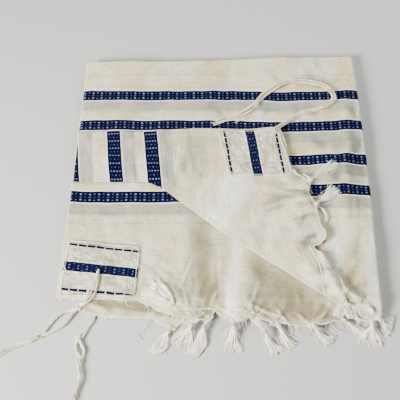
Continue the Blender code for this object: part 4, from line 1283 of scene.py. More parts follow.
def panel_columns(name, hem, left_inset, shape_end, counts, height):
    """A full panel's points, from its hem to the far fold, over the layer below."""
    columns = []
    for column_index in range(counts[0] + 1):
        side = column_index / counts[0]
        x = hem[0].x + (hem[-1].x - hem[0].x) * side
        hem_y = row_at(hem, x)[1] - pull(name, x)
        far_y = pile_far(x) - PANEL_FAR_INSET
        column = []
        for row in range(counts[1] + 1):
            share = (row / counts[1]) ** 1.5
            y = hem_y + (far_y - hem_y) * share
            left_x = pile_left(y) + left_inset
            straight_x = left_x + (pile_right(y) - PANEL_RIGHT_INSET - left_x) * side
            spot_x = x + (straight_x - x) * ease((y - shape_end) / HEM_SHAPE_REACH)
            column.append((spot_x, y, height(spot_x, y)))
        columns.append(column)
    return columns


def make_panel(name, node, columns, shift, painted_shading_tables, material):
    """A panel whose bands lie this much nearer than the top layer's."""
    maps = [[(x, y + shift) for x, y, _ in column] for column in columns]
    panel = sheet(name, columns, maps, (painted_shading_tables, painted_shading_tables))
    give_wall(panel, CLOTH_THICKNESS)
    dress(panel, [node], [material])
    return panel


second_columns = panel_columns("second", SECOND_HEM, 0.0, 0.0, (300, 150), second_height)
shawl_second = make_panel(
    "shawl_second", "second_layer", second_columns, SECOND_BAND_SHIFT, SECOND_PAINTED_SHADING, second_cloth
)
third_columns = panel_columns(
    "third", THIRD_HEM, THIRD_LEFT_INSET, THIRD_SHAPE_END, (140, 70), third_height
)
shawl_third = make_panel("shawl_third", "third_layer", third_columns, 0.0, THIRD_PAINTED_SHADING, plain_cloth)
print("panels:", len(second_columns), "and", len(third_columns), "columns")

# %% [markdown]
# Five more layers lie underneath. Only their folded edges can be seen, so each is a thin
# plate with a half-round edge. Every plate stands in a little differently, as the layers
# of a pile folded by hand do.

# %% Hidden layers
HiddenLayer = namedtuple("HiddenLayer", "left near")
HIDDEN_LAYERS = rows_of(
    HiddenLayer,
    (0.001, 0.0008), (0.0, 0.0022), (0.002, 0.0004), (0.0006, 0.0016), (0.0014, 0.0002),
)
HiddenSide = namedtuple("HiddenSide", "z right far")
# How far the hidden layers stand in from the pile's right and far outline, by height.
HIDDEN_SIDES = rows_of(
    HiddenSide,
    (0.0, 0.005, 0.0024),
    (0.0028, 0.0036, 0.0006),
    (0.0044, 0.0032, 0.0008),
    (0.006, 0.0044, 0.0024),
    (0.008, 0.0066, 0.0056),
)
HIDDEN_NEAR_Y = 0.0262
# Right of this x, the near edge stands back, which it does over this run.
SETBACK, SETBACK_X, SETBACK_RUN = 0.0100, 0.036, 0.014
HIDDEN_MIDDLE = Vector((0.25, 0.27))
SIDE_POINTS = 60
SIDE_SHARES = [step / SIDE_POINTS for step in range(SIDE_POINTS)]
EDGE_STEPS = 6
EDGE_WAVER = 0.0007
PLATE_GAP = 0.0001
PLATE_SINK = 0.0002


def evenly(start, end):
    """Values from start to end, by the shares of a side."""
    return [start + (end - start) * share for share in SIDE_SHARES]


def hidden_outline(index):
    """The layer's outline, anticlockwise from its near left corner."""
    inset = HIDDEN_LAYERS[index]
    z = HIDDEN_HEIGHT * (index + 0.5) / len(HIDDEN_LAYERS)
    _, right, far = row_at(HIDDEN_SIDES, z)
    near_y = HIDDEN_NEAR_Y + inset.near
    far_left_y = pile_far(0.0) - far
    far_right_y = pile_far(pile_right(far_left_y)) - far
    near_side = evenly(pile_left(near_y) + inset.left, pile_right(near_y) - right)
    right_side = evenly(near_y + SETBACK, far_right_y)
    far_side = evenly(pile_right(far_right_y) - right, pile_left(far_left_y) + inset.left)
    left_side = evenly(far_left_y, near_y)
    ring = [(x, near_y + SETBACK * ease((x - SETBACK_X) / SETBACK_RUN)) for x in near_side]
    ring += [(pile_right(y) - right, y) for y in right_side]
    ring += [(x, pile_far(x) - far) for x in far_side]
    ring += [(pile_left(y) + inset.left, y) for y in left_side]
    return ring


def add_plate(bm, index):
    """One folded layer: copies of its outline, bridged upwards in half-round steps."""
    pitch = HIDDEN_HEIGHT / len(HIDDEN_LAYERS)
    wall = pitch - PLATE_GAP
    base = FLOOR_CLEARANCE / 2 + index * pitch - PLATE_SINK
    ring = []
    for x, y in hidden_outline(index):
        waver = EDGE_WAVER * noise.noise(Vector((x * 21, y * 21, index * 4.1)))
        spot = Vector((x, y))
        ring.append(spot + (HIDDEN_MIDDLE - spot).normalized() * (EDGE_WAVER + waver))
    rows = []
    for step in range(EDGE_STEPS + 1):
        angle = math.pi * step / EDGE_STEPS
        inward = wall / 2 * (1 - math.sin(angle))
        height = base + wall / 2 * (1 - math.cos(angle))
        row = []
        for spot in ring:
            place = spot + (HIDDEN_MIDDLE - spot).normalized() * inward
            row.append(bm.verts.new(world_place((place.x, place.y, height))))
        rows.append(row)
    edges = []
    for row in rows:
        edges.append([bm.edges.new((a, b)) for a, b in zip(row, row[1:] + row[:1])])
    for low, high in zip(edges, edges[1:]):
        bmesh.ops.bridge_loops(bm, edges=low + high)
    bmesh.ops.contextual_create(bm, geom=edges[0])
    bmesh.ops.contextual_create(bm, geom=edges[-1])


bm = bmesh.new()
hidden_map = bm.loops.layers.uv.new("cloth")
for index in range(len(HIDDEN_LAYERS)):
    add_plate(bm, index)
for face in bm.faces:
    for loop in face.loops:
        place = loop.vert.co - PILE_CORNER
        loop[hidden_map].uv = (place.x - place.z, place.y + place.z)
shawl_hidden = finish_mesh("shawl_hidden", bm)
dress(shawl_hidden, ["hidden_layers"], [plain_cloth])
print("hidden layers:", len(shawl_hidden.data.polygons), "faces")

# %% [markdown]
# Where the corner strings hang, the cloth is strengthened by a sewn-on patch, cut from
# the same weaving. Each patch shows one narrow band between two dashed lines. It is its
# own thin sheet, just above its layer, and its pattern is measured from the middle line
# of its band.

# %% Patch places
Corner = namedtuple("Corner", "x y")
Line = namedtuple("Line", "start end")
# Near left, near right, far right and far left corner of each patch.
SECOND_PATCH = rows_of(Corner, (0.004, 0.0273), (0.1207, 0.0256), (0.126, 0.114), (0.0106, 0.125))
FLAP_PATCH = rows_of(Corner, (0.267, 0.245), (0.377, 0.245), (0.357, 0.337), (0.25, 0.34))
SECOND_PATCH_BAND = Line((0.0087, 0.0785), (0.1219, 0.0663))
FLAP_PATCH_BAND = Line((0.3055, 0.3396), (0.3174, 0.2472))
PATCH_GAP = 0.0006
PATCH_THICKNESS = 0.0007
PATCH_GRID = (76, 60)
CORNER_CUT = 0.045
PUCKER = 0.0009
SECOND_PUCKER, FLAP_PUCKER = 12, 10  # the place of each patch's own waves in the noise
PATCH_BAND_WIDTH = 0.0160
PATCH_CRUMPLE = 2.3  # a patch is more crumpled than the cloth, since its seam holds it short
PATCH_REPEAT = 0.0143
PATCH_BLUE = linear("28346E")
PATCH_DOTS = rows_of(
    Dot,
    (0.5, 0.0024, 0.0012, 0.0011, 0.6),
    (0.0, 0.005, 0.001, 0.0008, 0.34),
    (0.0, 0.0, 0.0009, 0.0007, 0.22),
)
print("patch grid:", PATCH_GRID[0] * PATCH_GRID[1], "faces")

# %% Patch shapes
def place_on_line(line, spot):
    """How far along a line a place lies, and how far to its left."""
    start, end = Vector(line.start), Vector(line.end)
    heading = (end - start).normalized()
    offset = spot - start
    return offset.dot(heading), heading.cross(offset)


def rim_distance(corners, spot):
    """How far inside a patch's nearest side a place lies."""
    sides = zip(corners, corners[1:] + corners[:1])
    return min(place_on_line(Line(*side), spot)[1] for side in sides)


def patch_spot(corners, across, along):
    """A place on a patch, whose corners are rounded a little."""
    near_left, near_right, far_right, far_left = [Vector(corner) for corner in corners]
    cut = 1 - CORNER_CUT * abs((2 * across - 1) * (2 * along - 1)) ** 9
    across, along = 0.5 + (across - 0.5) * cut, 0.5 + (along - 0.5) * cut
    return near_left.lerp(near_right, across).lerp(far_left.lerp(far_right, across), along)


def pucker(spot, seed):
    """The small waves that a row of stitches pulls into a patch."""
    return noise.noise(Vector((spot.x * 46, spot.y * 170, seed))) * PUCKER


def patch_height(height, spot, seed):
    lift = CLOTH_WALL / 2 + PATCH_GAP + PATCH_WALL / 2
    return height(*spot) + lift + pucker(spot, seed)


def make_patch(name, node, corners, band, height, seed, material):
    """A patch between its corners, just above the sheet of this height."""
    columns, maps = [], []
    for column in range(PATCH_GRID[0] + 1):
        points, places = [], []
        for row in range(PATCH_GRID[1] + 1):
            spot = patch_spot(corners, column / PATCH_GRID[0], row / PATCH_GRID[1])
            points.append((spot.x, spot.y, patch_height(height, spot, seed)))
            places.append(place_on_line(band, spot))
        columns.append(points)
        maps.append(places)
    patch = sheet(name, columns, maps, ((), ()))
    rim = patch.data.attributes.new("rim", "FLOAT", "POINT")
    for vertex, value in zip(patch.data.vertices, rim.data):
        value.value = rim_distance(corners, (vertex.co - PILE_CORNER).to_2d())
    give_wall(patch, PATCH_THICKNESS)
    dress(patch, [node], [material])
    return patch


# %% [markdown]
# A patch shows its turned-in rim as a lighter edge with a groove inside it, where the
# stitches pull; the groove is darkened with painted shade. The rim is an attribute: each
# point's distance to the nearest side. The dashed lines are a thicker navy yarn that dips
# under the cream at even steps.

# %% Patch finish
def patch_finish(name, dash_places, dash_pitch):
    """Cream cloth with one narrow band in its middle and a dashed line on each side."""
    finish = Finish(name, 0.9)
    u, v = finish.map_axes("cloth")
    waver = finish.grain(u * 24, v * 9) - 0.5
    line_v = v + waver * 0.0014
    relief, shade = plain_weave(finish, u, v, PATCH_CRUMPLE)
    clouds = finish.step(finish.grain(u * 30, v * 40, 2.0), 0.35, 0.65)
    cream = finish.blend(clouds, PATCH_TAN, PATCH_CREAM)
    # The patch's ribbed gathers raise its relief, and the same noise paints their shade and highlight into
    # the colour.
    ribs = finish.grain(u * 34, v * 330, 2.0)
    cream = scaled(finish, cream, shade + (ribs - 0.5) * 0.34)
    rim = finish.add("ShaderNodeAttribute", {"attribute_name": "rim"}, output=2)
    rim = rim + (finish.grain(u * 60, v * 60) - 0.5) * 0.0012
    turned_in = 1 - finish.step(rim, 0.0022, 0.0032)
    groove = edge_line(finish, rim, 0.0040, 0.0003, 0.0010)
    cream = finish.blend(turned_in * 0.6, cream, CREAM_PALE_AND_HIGHLIGHT)
    # Painted shade in the groove inside the rim.
    cream = finish.blend(groove * 0.30, cream, CREAM_PAINTED_SHADE)
    near = distance_to_lines(line_v, dash_places)
    dash = finish.step(((u / dash_pitch).maths("FRACT") - 0.5).maths("ABSOLUTE"), 0.435, 0.460)
    line = (1 - finish.step(near, 0.0018, 0.0024)) * (1 - dash)
    line = line * finish.step(rim, 0.0008, 0.0016)
    across = line_v.maths("ABSOLUTE")
    half = PATCH_BAND_WIDTH / 2
    border = edge_line(finish, across, half + 0.0012, 0.0004, 0.0012)
    cream = finish.blend(border * 0.7, cream, CREAM_PALE_AND_HIGHLIGHT)
    color = finish.blend(line, cream, DASH_NAVY)
    inside = 1 - finish.step(across, half - 0.0003, half + 0.0003)
    band = band_color(finish, u, across, PATCH_DOTS, PATCH_REPEAT, PATCH_BLUE)
    color = finish.blend(inside, color, band)
    relief = relief + inside * 0.6 + line * 0.5 + ribs + turned_in * 1.2 - groove * 0.8
    return finish.end(color, relief, 0.0007)


# %% Corner patches
second_patch_cloth = patch_finish("second_patch_cloth", (-0.0385, 0.0380), 0.0143)
flap_patch_cloth = patch_finish("flap_patch_cloth", (-0.0435, 0.0435), 0.0120)
patch_second = make_patch(
    "patch_second", "corner_patch_second",
    SECOND_PATCH, SECOND_PATCH_BAND, second_height, SECOND_PUCKER, second_patch_cloth,
)
patch_flap = make_patch(
    "patch_flap", "corner_patch_flap",
    FLAP_PATCH, FLAP_PATCH_BAND, flap_height, FLAP_PUCKER, flap_patch_cloth,
)
print("patches:", patch_second.name, patch_flap.name)

# %% [markdown]
# All yarn is drawn as curves with a round bevel: one point list per yarn, and a radius
# for each point, so that a yarn can swell and thin. A yarn finish reads the place of the
# surface, because a curve moves with no cloth.

# %% Yarn finishes
def yarn_finish(name, light, shaded):
    finish = Finish(name, 0.85)
    place = finish.add("ShaderNodeTexCoord", output=3)
    slow = finish.step(finish.cloud(place, 90.0, 2.0), 0.35, 0.65)
    quick = finish.cloud(place, 2400.0, 1.0)
    color = scaled(finish, finish.blend(slow, light, shaded), 0.88 + quick * 0.24)
    return finish.end(color, quick, 0.0003)


fringe_finish = yarn_finish("fringe_yarn", linear("FFFDF4"), linear("EDE6CA"))
cord_finish = yarn_finish("corner_string_yarn", linear("FCF8EA"), linear("E6DAB2"))
wrap_finish = yarn_finish("fringe_wrap_yarn", linear("EEE2C4"), linear("D8C294"))
stitch_finish = yarn_finish("stitching_yarn", linear("F4F0E4"), linear("E6DEC9"))
print("yarn finishes:", [m.name for m in (fringe_finish, cord_finish, wrap_finish, stitch_finish)])

# %% Yarn curves
def yarn_object(name, yarns, radius, nodes, material):
    """Yarns as one curve object. A yarn is a list of (place on the pile, share of radius)."""
    curve = bpy.data.curves.new(name, "CURVE")
    curve.dimensions = "3D"
    curve.bevel_depth = radius
    curve.bevel_resolution = 0
    curve.use_fill_caps = True
    for yarn in yarns:
        spline = curve.splines.new("POLY")
        spline.points.add(len(yarn) - 1)
        for point, (place, share) in zip(spline.points, yarn):
            point.co = (*world_place(place), 1.0)
            point.radius = share
        spline.use_smooth = True
    obj = bpy.data.objects.new(name, curve)
    bpy.context.scene.collection.objects.link(obj)
    dress(obj, nodes, [material])
    return obj


def smooth_path(points, count):
    """Evenly shared points of a smooth curve through these."""
    rows = [tuple(point) for point in points]
    return [Vector(curve_through(rows, step / (count - 1))) for step in range(count)]


def around(path, index):
    """Two unit directions square to the path at one of its points."""
    low, high = path[max(index - 1, 0)], path[min(index + 1, len(path) - 1)]
    heading = (high - low).normalized()
    side = heading.cross(Vector((0.0, 0.0, 1.0))).normalized()
    return side, side.cross(heading)


def plies(path, radius, pitch, count, start_angle=0.0):
    """Helical yarns twisted about a path, their centres this far from it."""
    yarns = []
    for ply in range(count):
        yarn, travelled = [], 0.0
        for index, centre in enumerate(path):
            if index:
                travelled += (centre - path[index - 1]).length
            angle = start_angle + 2 * math.pi * (ply / count + travelled / pitch)
            side, rise = around(path, index)
            place = centre + (side * math.cos(angle) + rise * math.sin(angle)) * radius
            yarn.append((place, 1.0))
        yarns.append(yarn)
    return yarns


# %% [markdown]
# The fringe is made of the cloth's own warp ends. At each tassel a bundle of them is
# gathered from the hem, wrapped tightly, and left to open like a brush. Every yarn starts
# on the hem, passes through the wrapped neck and ends a little differently, with a seeded
# choice of place, length and wave, so that the brushes look combed and not stamped.
#
# First we need the places: the height of whatever a yarn lies on, and a tassel's frame.

# %% Frame of a tassel
NECK_LENGTH = 0.0075
NECK_GAP = 0.0030  # from the hem, or the end of the drop, to the neck
NECK_RADIUS = 0.0027
WRAP_SWELL = 1.24  # the wrapping's widest, as a share of the neck's radius
YARN_RADIUS = 0.00056
YARN_STEPS = 12
WRAP_STEPS = 46
WRAP_TURNS = 4.4
WRAP_THICKNESS = 1.35  # as a share of a yarn's
YARNS_PER_METRE = 1500  # of a brush's spread, on top of the yarns every tassel has
FEWEST_YARNS = 34
FIBRE_RADIUS = 0.00040
MIDDLES = {"third": third_height, "second": second_height, "top": top_height, "flap": flap_height}


def top_of(piece, x, y):
    """Height of the upper face of the piece that a yarn lies on."""
    if piece == "table":
        return 0.0
    lift = PATCH_GAP + PATCH_WALL if piece.endswith("_patch") else 0.0
    return MIDDLES[piece.removesuffix("_patch")](x, y) + CLOTH_WALL / 2 + lift


def hem_spot(tassel):
    """The place on its hem that a tassel is knotted to."""
    x, y = root_place(tassel)
    if tassel.hem == "on_second":
        return Vector((x, y, top_of("second", x, y) + NECK_RADIUS))
    return Vector((x, y, MIDDLES[tassel.hem](x, y)))


Brush = namedtuple("Brush", "root back heading left reach tassel lies_on")


def brush_of(tassel):
    """Where a tassel starts, and the way it lies."""
    lies_on = {"flap": "top", "on_second": "second"}.get(tassel.hem, "table")
    root = hem_spot(tassel)
    heading = Vector((tassel.tip_x - root.x, tassel.tip_y - root.y, 0.0))
    reach = heading.length - NECK_LENGTH - tassel.drop
    heading.normalize()
    back = root + heading * (NECK_GAP + tassel.drop)
    front = back + heading * NECK_LENGTH
    lowest = max(top_of(lies_on, *back.xy), top_of(lies_on, *front.xy))
    back.z = max(back.z, lowest + NECK_RADIUS * WRAP_SWELL + YARN_RADIUS * 1.5)
    left = Vector((-heading.y, heading.x, 0.0))
    return Brush(root, back, heading, left, reach, tassel, lies_on)


brushes = [brush_of(tassel) for tassel in TASSELS]
print("longest brush:", round(max(brush.reach for brush in brushes) * 1000), "mm")

# %% [markdown]
# Now one yarn of a brush. Its fan says which side it lies on and its layer how high. It
# opens with the others along the brush's shape, sinks onto the table, and thins at its
# end. A few thinner yarns have slipped out and curl beside the rest.

# %% Yarn of a tassel
def opening(shape, share):
    """How far a brush has opened at a share of its length."""
    if shape == "leaf":
        return math.sin(math.pi * (0.04 + 0.84 * share)) ** 0.8
    if shape == "flare":
        return 0.30 + 0.70 * share**1.4
    return math.sin(math.pi / 2 * min(share * 1.12, 1.0)) ** 0.9


def lay_down(brush, points, level, front_height):
    """Drops a yarn's points from the neck onto what the tassel lies on."""
    for step, spot in enumerate(points, start=1):
        share = step / len(points)
        floor = top_of(brush.lies_on, spot.x, spot.y) + YARN_RADIUS * 1.3 + FLOOR_CLEARANCE
        slack = max((front_height - NECK_RADIUS - floor) * (1 - share) ** 2.4, 0.0)
        spot.z = floor + level * (1 - 0.5 * share) + slack


def brush_yarn(rng, brush):
    """One yarn: from the gathered hem, through the neck, to its own ragged end."""
    front = brush.back + brush.heading * NECK_LENGTH
    fan, layer = rng.uniform(-1.0, 1.0), rng.random()
    reach = brush.reach * rng.uniform(0.84, 1.05) * (1.0 - 0.10 * fan * fan)
    neck_side = brush.left * fan * NECK_RADIUS * 0.62
    neck_rise = Vector((0.0, 0.0, (layer - 0.5) * NECK_RADIUS * 1.3))
    hem_side = brush.left * rng.uniform(-1.0, 1.0) * 0.0065
    start = brush.root + brush.heading * (NECK_GAP - rng.uniform(0.003, 0.008)) + hem_side
    if not brush.tassel.drop:
        start.z = max(start.z, brush.back.z)
    run = []
    wave, phase = rng.uniform(0.0001, 0.0008), rng.uniform(0.0, 6.3)
    ragged = rng.gauss(0.0, 0.0034)
    for share in (0.14, 0.30, 0.48, 0.66, 0.84, 1.0):
        spot = front + brush.heading * reach * share
        aside = brush.tassel.spread / 2 * fan * opening(brush.tassel.shape, share)
        aside += brush.tassel.bow * math.sin(math.pi * share) + wave * math.sin(phase + share * 8)
        run.append(spot + brush.left * (aside + ragged * max(share - 0.6, 0.0) ** 1.5 * 4))
    dome = 0.0042 * math.sqrt(1.0 - 0.9 * fan * fan)
    lay_down(brush, run, dome * layer, front.z)
    neck = [brush.back + neck_side + neck_rise, front + neck_side + neck_rise]
    path = smooth_path([start] + neck + run, YARN_STEPS)
    thick = rng.uniform(0.8, 1.2)
    return [(place, thick * (1 - 0.5 * (step / YARN_STEPS) ** 3)) for step, place in enumerate(path)]


def loose_yarn(rng, brush):
    """A thin yarn that has slipped out of the brush and curls beside it."""
    front = brush.back + brush.heading * NECK_LENGTH * 0.8
    side = rng.choice((-1.0, 1.0))
    reach = brush.reach * rng.uniform(0.35, 0.85)
    turn, phase = rng.uniform(3.0, 7.0), rng.uniform(0.0, 6.3)
    run = []
    for share in (0.2, 0.4, 0.6, 0.8, 1.0):
        aside = side * (brush.tassel.spread * 0.5 * share**0.6 + 0.0025)
        aside += 0.0030 * math.sin(phase + turn * share) * share
        along = reach * (share + 0.12 * math.sin(phase + turn * share * 1.4))
        run.append(front + brush.heading * along + brush.left * aside)
    lay_down(brush, run, 0.0004, front.z)
    return [(place, 0.42) for place in smooth_path([brush.back] + run, YARN_STEPS)]


def wrapping(rng, brush):
    """The yarn wound round the neck, fullest at its middle."""
    path = []
    rise = Vector((0.0, 0.0, 1.0))
    for step in range(WRAP_STEPS + 1):
        share = step / WRAP_STEPS
        angle = 2 * math.pi * WRAP_TURNS * share
        fullness = WRAP_SWELL - 0.22 * (1 - math.sin(math.pi * share))
        swell = NECK_RADIUS * (fullness + rng.uniform(-0.05, 0.05))
        centre = brush.back + brush.heading * NECK_LENGTH * (0.05 + 0.75 * share)
        path.append(centre + (brush.left * math.cos(angle) + rise * math.sin(angle)) * swell)
    return [(place, WRAP_THICKNESS) for place in path]


# %% Tassels
TASSEL_SEED = 410
LOOSE_YARNS = 6


def make_tassel(order, brush):
    rng = random.Random(TASSEL_SEED + order)
    count = FEWEST_YARNS + round(brush.tassel.spread * YARNS_PER_METRE)
    yarns = [brush_yarn(rng, brush) for _ in range(count)]
    yarns += [loose_yarn(rng, brush) for _ in range(LOOSE_YARNS)]
    piece = yarn_object(
        f"tassel_yarns_{order:02d}", yarns, YARN_RADIUS, [f"tassel_{order:02d}"],
        fringe_finish,
    )
    return piece, wrapping(rng, brush)


made_tassels = [make_tassel(order, brush) for order, brush in enumerate(brushes, start=1)]
tassels = [piece for piece, _ in made_tassels]
tassel_wraps = yarn_object(
    "tassel_wraps", [wrap for _, wrap in made_tassels], YARN_RADIUS, [],
    wrap_finish,
)
print("tassels:", len(tassels))

# %% [markdown]
# Some bundles of warp ends were never tied, or have slipped out of their knots. They lie
# in loops on the cloth beside the hem. A bundle follows one given line; each of its
# yarns keeps its own distance from that line, its own length and its own height.

# %% Places of the loose bundles
Bundle = namedtuple("Bundle", "on count width rise places")
BUNDLES = [
    Bundle("second", 26, 0.007, 0.0044, [
        (0.18, 0.011), (0.1735, 0.021), (0.165, 0.032), (0.156, 0.042), (0.1478, 0.048),
        (0.1413, 0.0568),
    ]),
    Bundle("second", 26, 0.006, 0.004, [
        (0.178, 0.011), (0.169, 0.023), (0.159, 0.034), (0.15, 0.0405), (0.1425, 0.0395),
        (0.1436, 0.032),
    ]),
    Bundle("second", 22, 0.005, 0.006, [
        (0.18, 0.012), (0.176, 0.024), (0.169, 0.035), (0.1615, 0.044), (0.154, 0.042),
        (0.153, 0.034), (0.16, 0.028),
    ]),
    Bundle("second", 16, 0.008, 0.002, [
        (0.178, 0.012), (0.173, 0.026), (0.167, 0.04), (0.159, 0.05), (0.1552, 0.058),
    ]),
    Bundle("second", 26, 0.011, 0.0034, [
        (0.175, 0.011), (0.1686, 0.014), (0.1562, 0.02), (0.1439, 0.0264), (0.13, 0.038),
    ]),
    Bundle("top", 26, 0.006, 0.004, [
        (0.411, 0.187), (0.419, 0.181), (0.4245, 0.172), (0.4256, 0.163), (0.4215, 0.155),
        (0.417, 0.145),
    ]),
    Bundle("top", 26, 0.007, 0.007, [
        (0.406, 0.23), (0.404, 0.236), (0.3965, 0.2433), (0.39, 0.2455),
    ]),
    Bundle("top", 34, 0.015, 0.004, [
        (0.431, 0.013), (0.433, 0.006), (0.43, -0.001), (0.4235, -0.0085),
    ]),
    Bundle("top", 40, 0.017, 0.005, [
        (0.435, 0.013), (0.442, 0.007), (0.448, 0.0), (0.45, -0.008),
    ]),
    Bundle("top", 30, 0.013, 0.0036, [
        (0.44, 0.012), (0.45, 0.008), (0.458, 0.002), (0.464, -0.005),
    ]),
    Bundle("top", 30, 0.0065, 0.004, [
        (0.4609, 0.0101), (0.47, 0.009), (0.4775, 0.006), (0.481, 0.002), (0.483, -0.003),
    ]),
]
# Single fibres that have come out of the flap's corner string and lie beside it.
STRING_FRAYS = [
    Bundle("top", 12, 0.009, 0.0018, [
        (0.462, 0.408), (0.459, 0.429), (0.442, 0.447), (0.4075, 0.453), (0.38, 0.451),
        (0.352, 0.437), (0.3255, 0.413),
    ]),
    Bundle("top", 8, 0.006, 0.0018, [
        (0.4319, 0.39), (0.416, 0.385), (0.406, 0.381), (0.39, 0.369), (0.3765, 0.3576),
    ]),
    Bundle("top", 7, 0.013, 0.001, [
        (0.332, 0.41), (0.312, 0.393), (0.288, 0.377), (0.263, 0.37), (0.237, 0.356),
    ]),
    Bundle("top", 5, 0.01, 0.001, [
        (0.326, 0.395), (0.31, 0.374), (0.295, 0.364), (0.278, 0.357),
    ]),
    Bundle("flap_patch", 7, 0.01, 0.0014, [
        (0.352, 0.33), (0.344, 0.324), (0.334, 0.319), (0.323, 0.31),
    ]),
]
print("bundles:", len(BUNDLES), "and", len(STRING_FRAYS))

# %% Loose bundles
LINE_STEPS = 18


def bundle_yarn(rng, bundle, line):
    """One yarn of a loose bundle, beside the bundle's line."""
    fan, layer = rng.uniform(-1.0, 1.0), rng.random()
    last = len(line) - 1
    end = round(last * rng.uniform(0.78, 1.0))
    wave, phase = rng.uniform(0.0002, 0.0009), rng.uniform(0.0, 6.3)
    dome = bundle.rise * layer * math.sqrt(1.0 - 0.9 * fan * fan)
    yarn = []
    for step in range(end + 1):
        share = step / last
        side, _ = around(line, step)
        aside = bundle.width / 2 * fan * (0.45 + 0.55 * math.sin(math.pi * min(share, 0.6) / 1.2))
        spot = line[step] + side * (aside + wave * math.sin(phase + share * 14))
        floor = top_of(bundle.on, spot.x, spot.y) + YARN_RADIUS * 1.3
        spot.z = floor + dome * math.sin(math.pi * (0.15 + 0.75 * share)) ** 0.7
        yarn.append((spot, 1.0 - 0.45 * (step / end) ** 4))
    return yarn


def bundle_yarns(rng, bundle):
    line = smooth_path([Vector((x, y, 0.0)) for x, y in bundle.places], LINE_STEPS)
    return [bundle_yarn(rng, bundle, line) for _ in range(bundle.count)]


rng = random.Random(90)
bundled = [yarn for bundle in BUNDLES for yarn in bundle_yarns(rng, bundle)]
loose_bundles = yarn_object("loose_bundles", bundled, YARN_RADIUS, [], fringe_finish)
frayed_out = [yarn for bundle in STRING_FRAYS for yarn in bundle_yarns(rng, bundle)]
string_frays = yarn_object("string_frays", frayed_out, FIBRE_RADIUS, [], fringe_finish)
print("loose yarns:", len(loose_bundles.data.splines) + len(string_frays.data.splines))

# %% [markdown]
# A cut hem of loose weaving frays. Most of its fibres stand out only a few millimetres; a
# few longer ends curl away and lie on whatever is below. Each hem gets its own seeded
# set, since fibres this many and this small can't be placed one by one.

# %% One frayed fibre
FIBRE_START = 0.0015  # inside the hem
FIBRE_RISE = 0.0006


def frayed(start, heading, length, floor, curl):
    """A short curling fibre that leaves a hem and sinks to the floor below it."""
    spot = Vector(start) - heading * FIBRE_START
    direction = heading.copy()
    yarn = [(spot.copy(), 1.0)]
    steps = 3 if length < 0.006 else 7
    for step in range(1, steps + 1):
        direction = Vector((*turned(direction.to_2d(), curl / steps), 0.0))
        spot = spot + direction * length / steps
        ground = floor(spot.x, spot.y) + FIBRE_RISE
        share = step / steps
        sunk = ground + max(start[2] + FIBRE_RISE - ground, 0.0) * (1 - share) ** 1.4
        yarn.append((Vector((spot.x, spot.y, max(sunk, ground))), 1.0 - 0.4 * share))
    return yarn


def face_of(piece, hem=None):
    """The height of a piece's upper face, by the place; beyond its hem lies the table."""
    def height(x, y):
        beyond = hem and (x <= hem[0].x or y <= row_at(hem, x)[1])
        return 0.0 if beyond else top_of(piece, x, y)
    return height


below_second, below_top = face_of("third", THIRD_HEM), face_of("second", SECOND_HEM)


def hem_fibres(rng, count, place, outward, floor, longest):
    """Frayed fibres along a hem. place gives its points by a share of its length."""
    fibres = []
    for _ in range(count):
        start = place(rng.random())
        angle = rng.gauss(0.0, 0.7)
        heading = Vector((*turned(outward, angle), 0.0))
        long_one = rng.random() < 0.22
        length = rng.uniform(0.006, longest) if long_one else rng.uniform(0.0015, 0.0045)
        curl = rng.gauss(0.0, 2.2 if long_one else 0.8)
        fibres.append(frayed(start, heading, length, floor, curl))
    return fibres


print("the second hem frays onto cloth", round(below_second(0.1, 0.01) * 1000, 1), "mm up")

# %% Frayed hems
SECOND_SEAM = rows_of(
    SeamPoint,
    (0.008, 0.188), (0.0068, 0.2003), (0.0068, 0.2139), (0.0084, 0.2291), (0.0068, 0.2412),
    (0.006, 0.2533), (0.0068, 0.2684), (0.0051, 0.2805), (0.0019, 0.2925), (-0.001, 0.308),
)


def hem_place(start, run, hem_y, height):
    """Places on a hem from this x on, by a share of its run."""
    def place(share):
        x = start + run * share
        y = hem_y(x)
        return (x, y, height(x, y))
    return place


def panel_hem_y(name, hem):
    return lambda x: row_at(hem, x)[1] - pull(name, x)


def second_seam_place(share):
    y, x = curve_through(SECOND_SEAM, share)
    return (x, y, top_of("second", x, y))


def flap_hem_place(share):
    y = 0.006 + 0.270 * share
    x = flap_hem_x(y)
    return (x, y, flap_height(x, y))


second_hem_place = hem_place(0.002, 0.484, panel_hem_y("second", SECOND_HEM), second_height)
third_hem_place = hem_place(0.043, 0.17, panel_hem_y("third", THIRD_HEM), third_height)
top_hem_place = hem_place(0.441, 0.052, top_hem_y, top_height)
near, right = Vector((0.0, -1.0)), Vector((1.0, -0.1))
rng = random.Random(77)
second_fray = hem_fibres(rng, 420, second_hem_place, near, below_second, 0.016)
second_fray += hem_fibres(rng, 130, second_seam_place, near, face_of("second"), 0.006)
third_fray = hem_fibres(rng, 110, third_hem_place, near, face_of("table"), 0.010)
flap_fray = hem_fibres(rng, 260, flap_hem_place, right, face_of("top"), 0.014)
top_fray = hem_fibres(rng, 70, top_hem_place, near, below_top, 0.014)
fray = {
    name: yarn_object(name, fibres, FIBRE_RADIUS, [], fringe_finish)
    for name, fibres in (
        ("fray_second", second_fray), ("fray_third", third_fray),
        ("fray_flap", flap_fray), ("fray_top", top_fray),
    )
}
print("frayed fibres:", {name: len(obj.data.splines) for name, obj in fray.items()})

# %% [markdown]
# The cut edge of each sheet would look like a thin plate. On the real shawl the hems are
# rolled between the fingers and the selvedges are close-woven, so both are a little
# thicker than the cloth. A soft cord along the sheet's own edge points gives that roll.

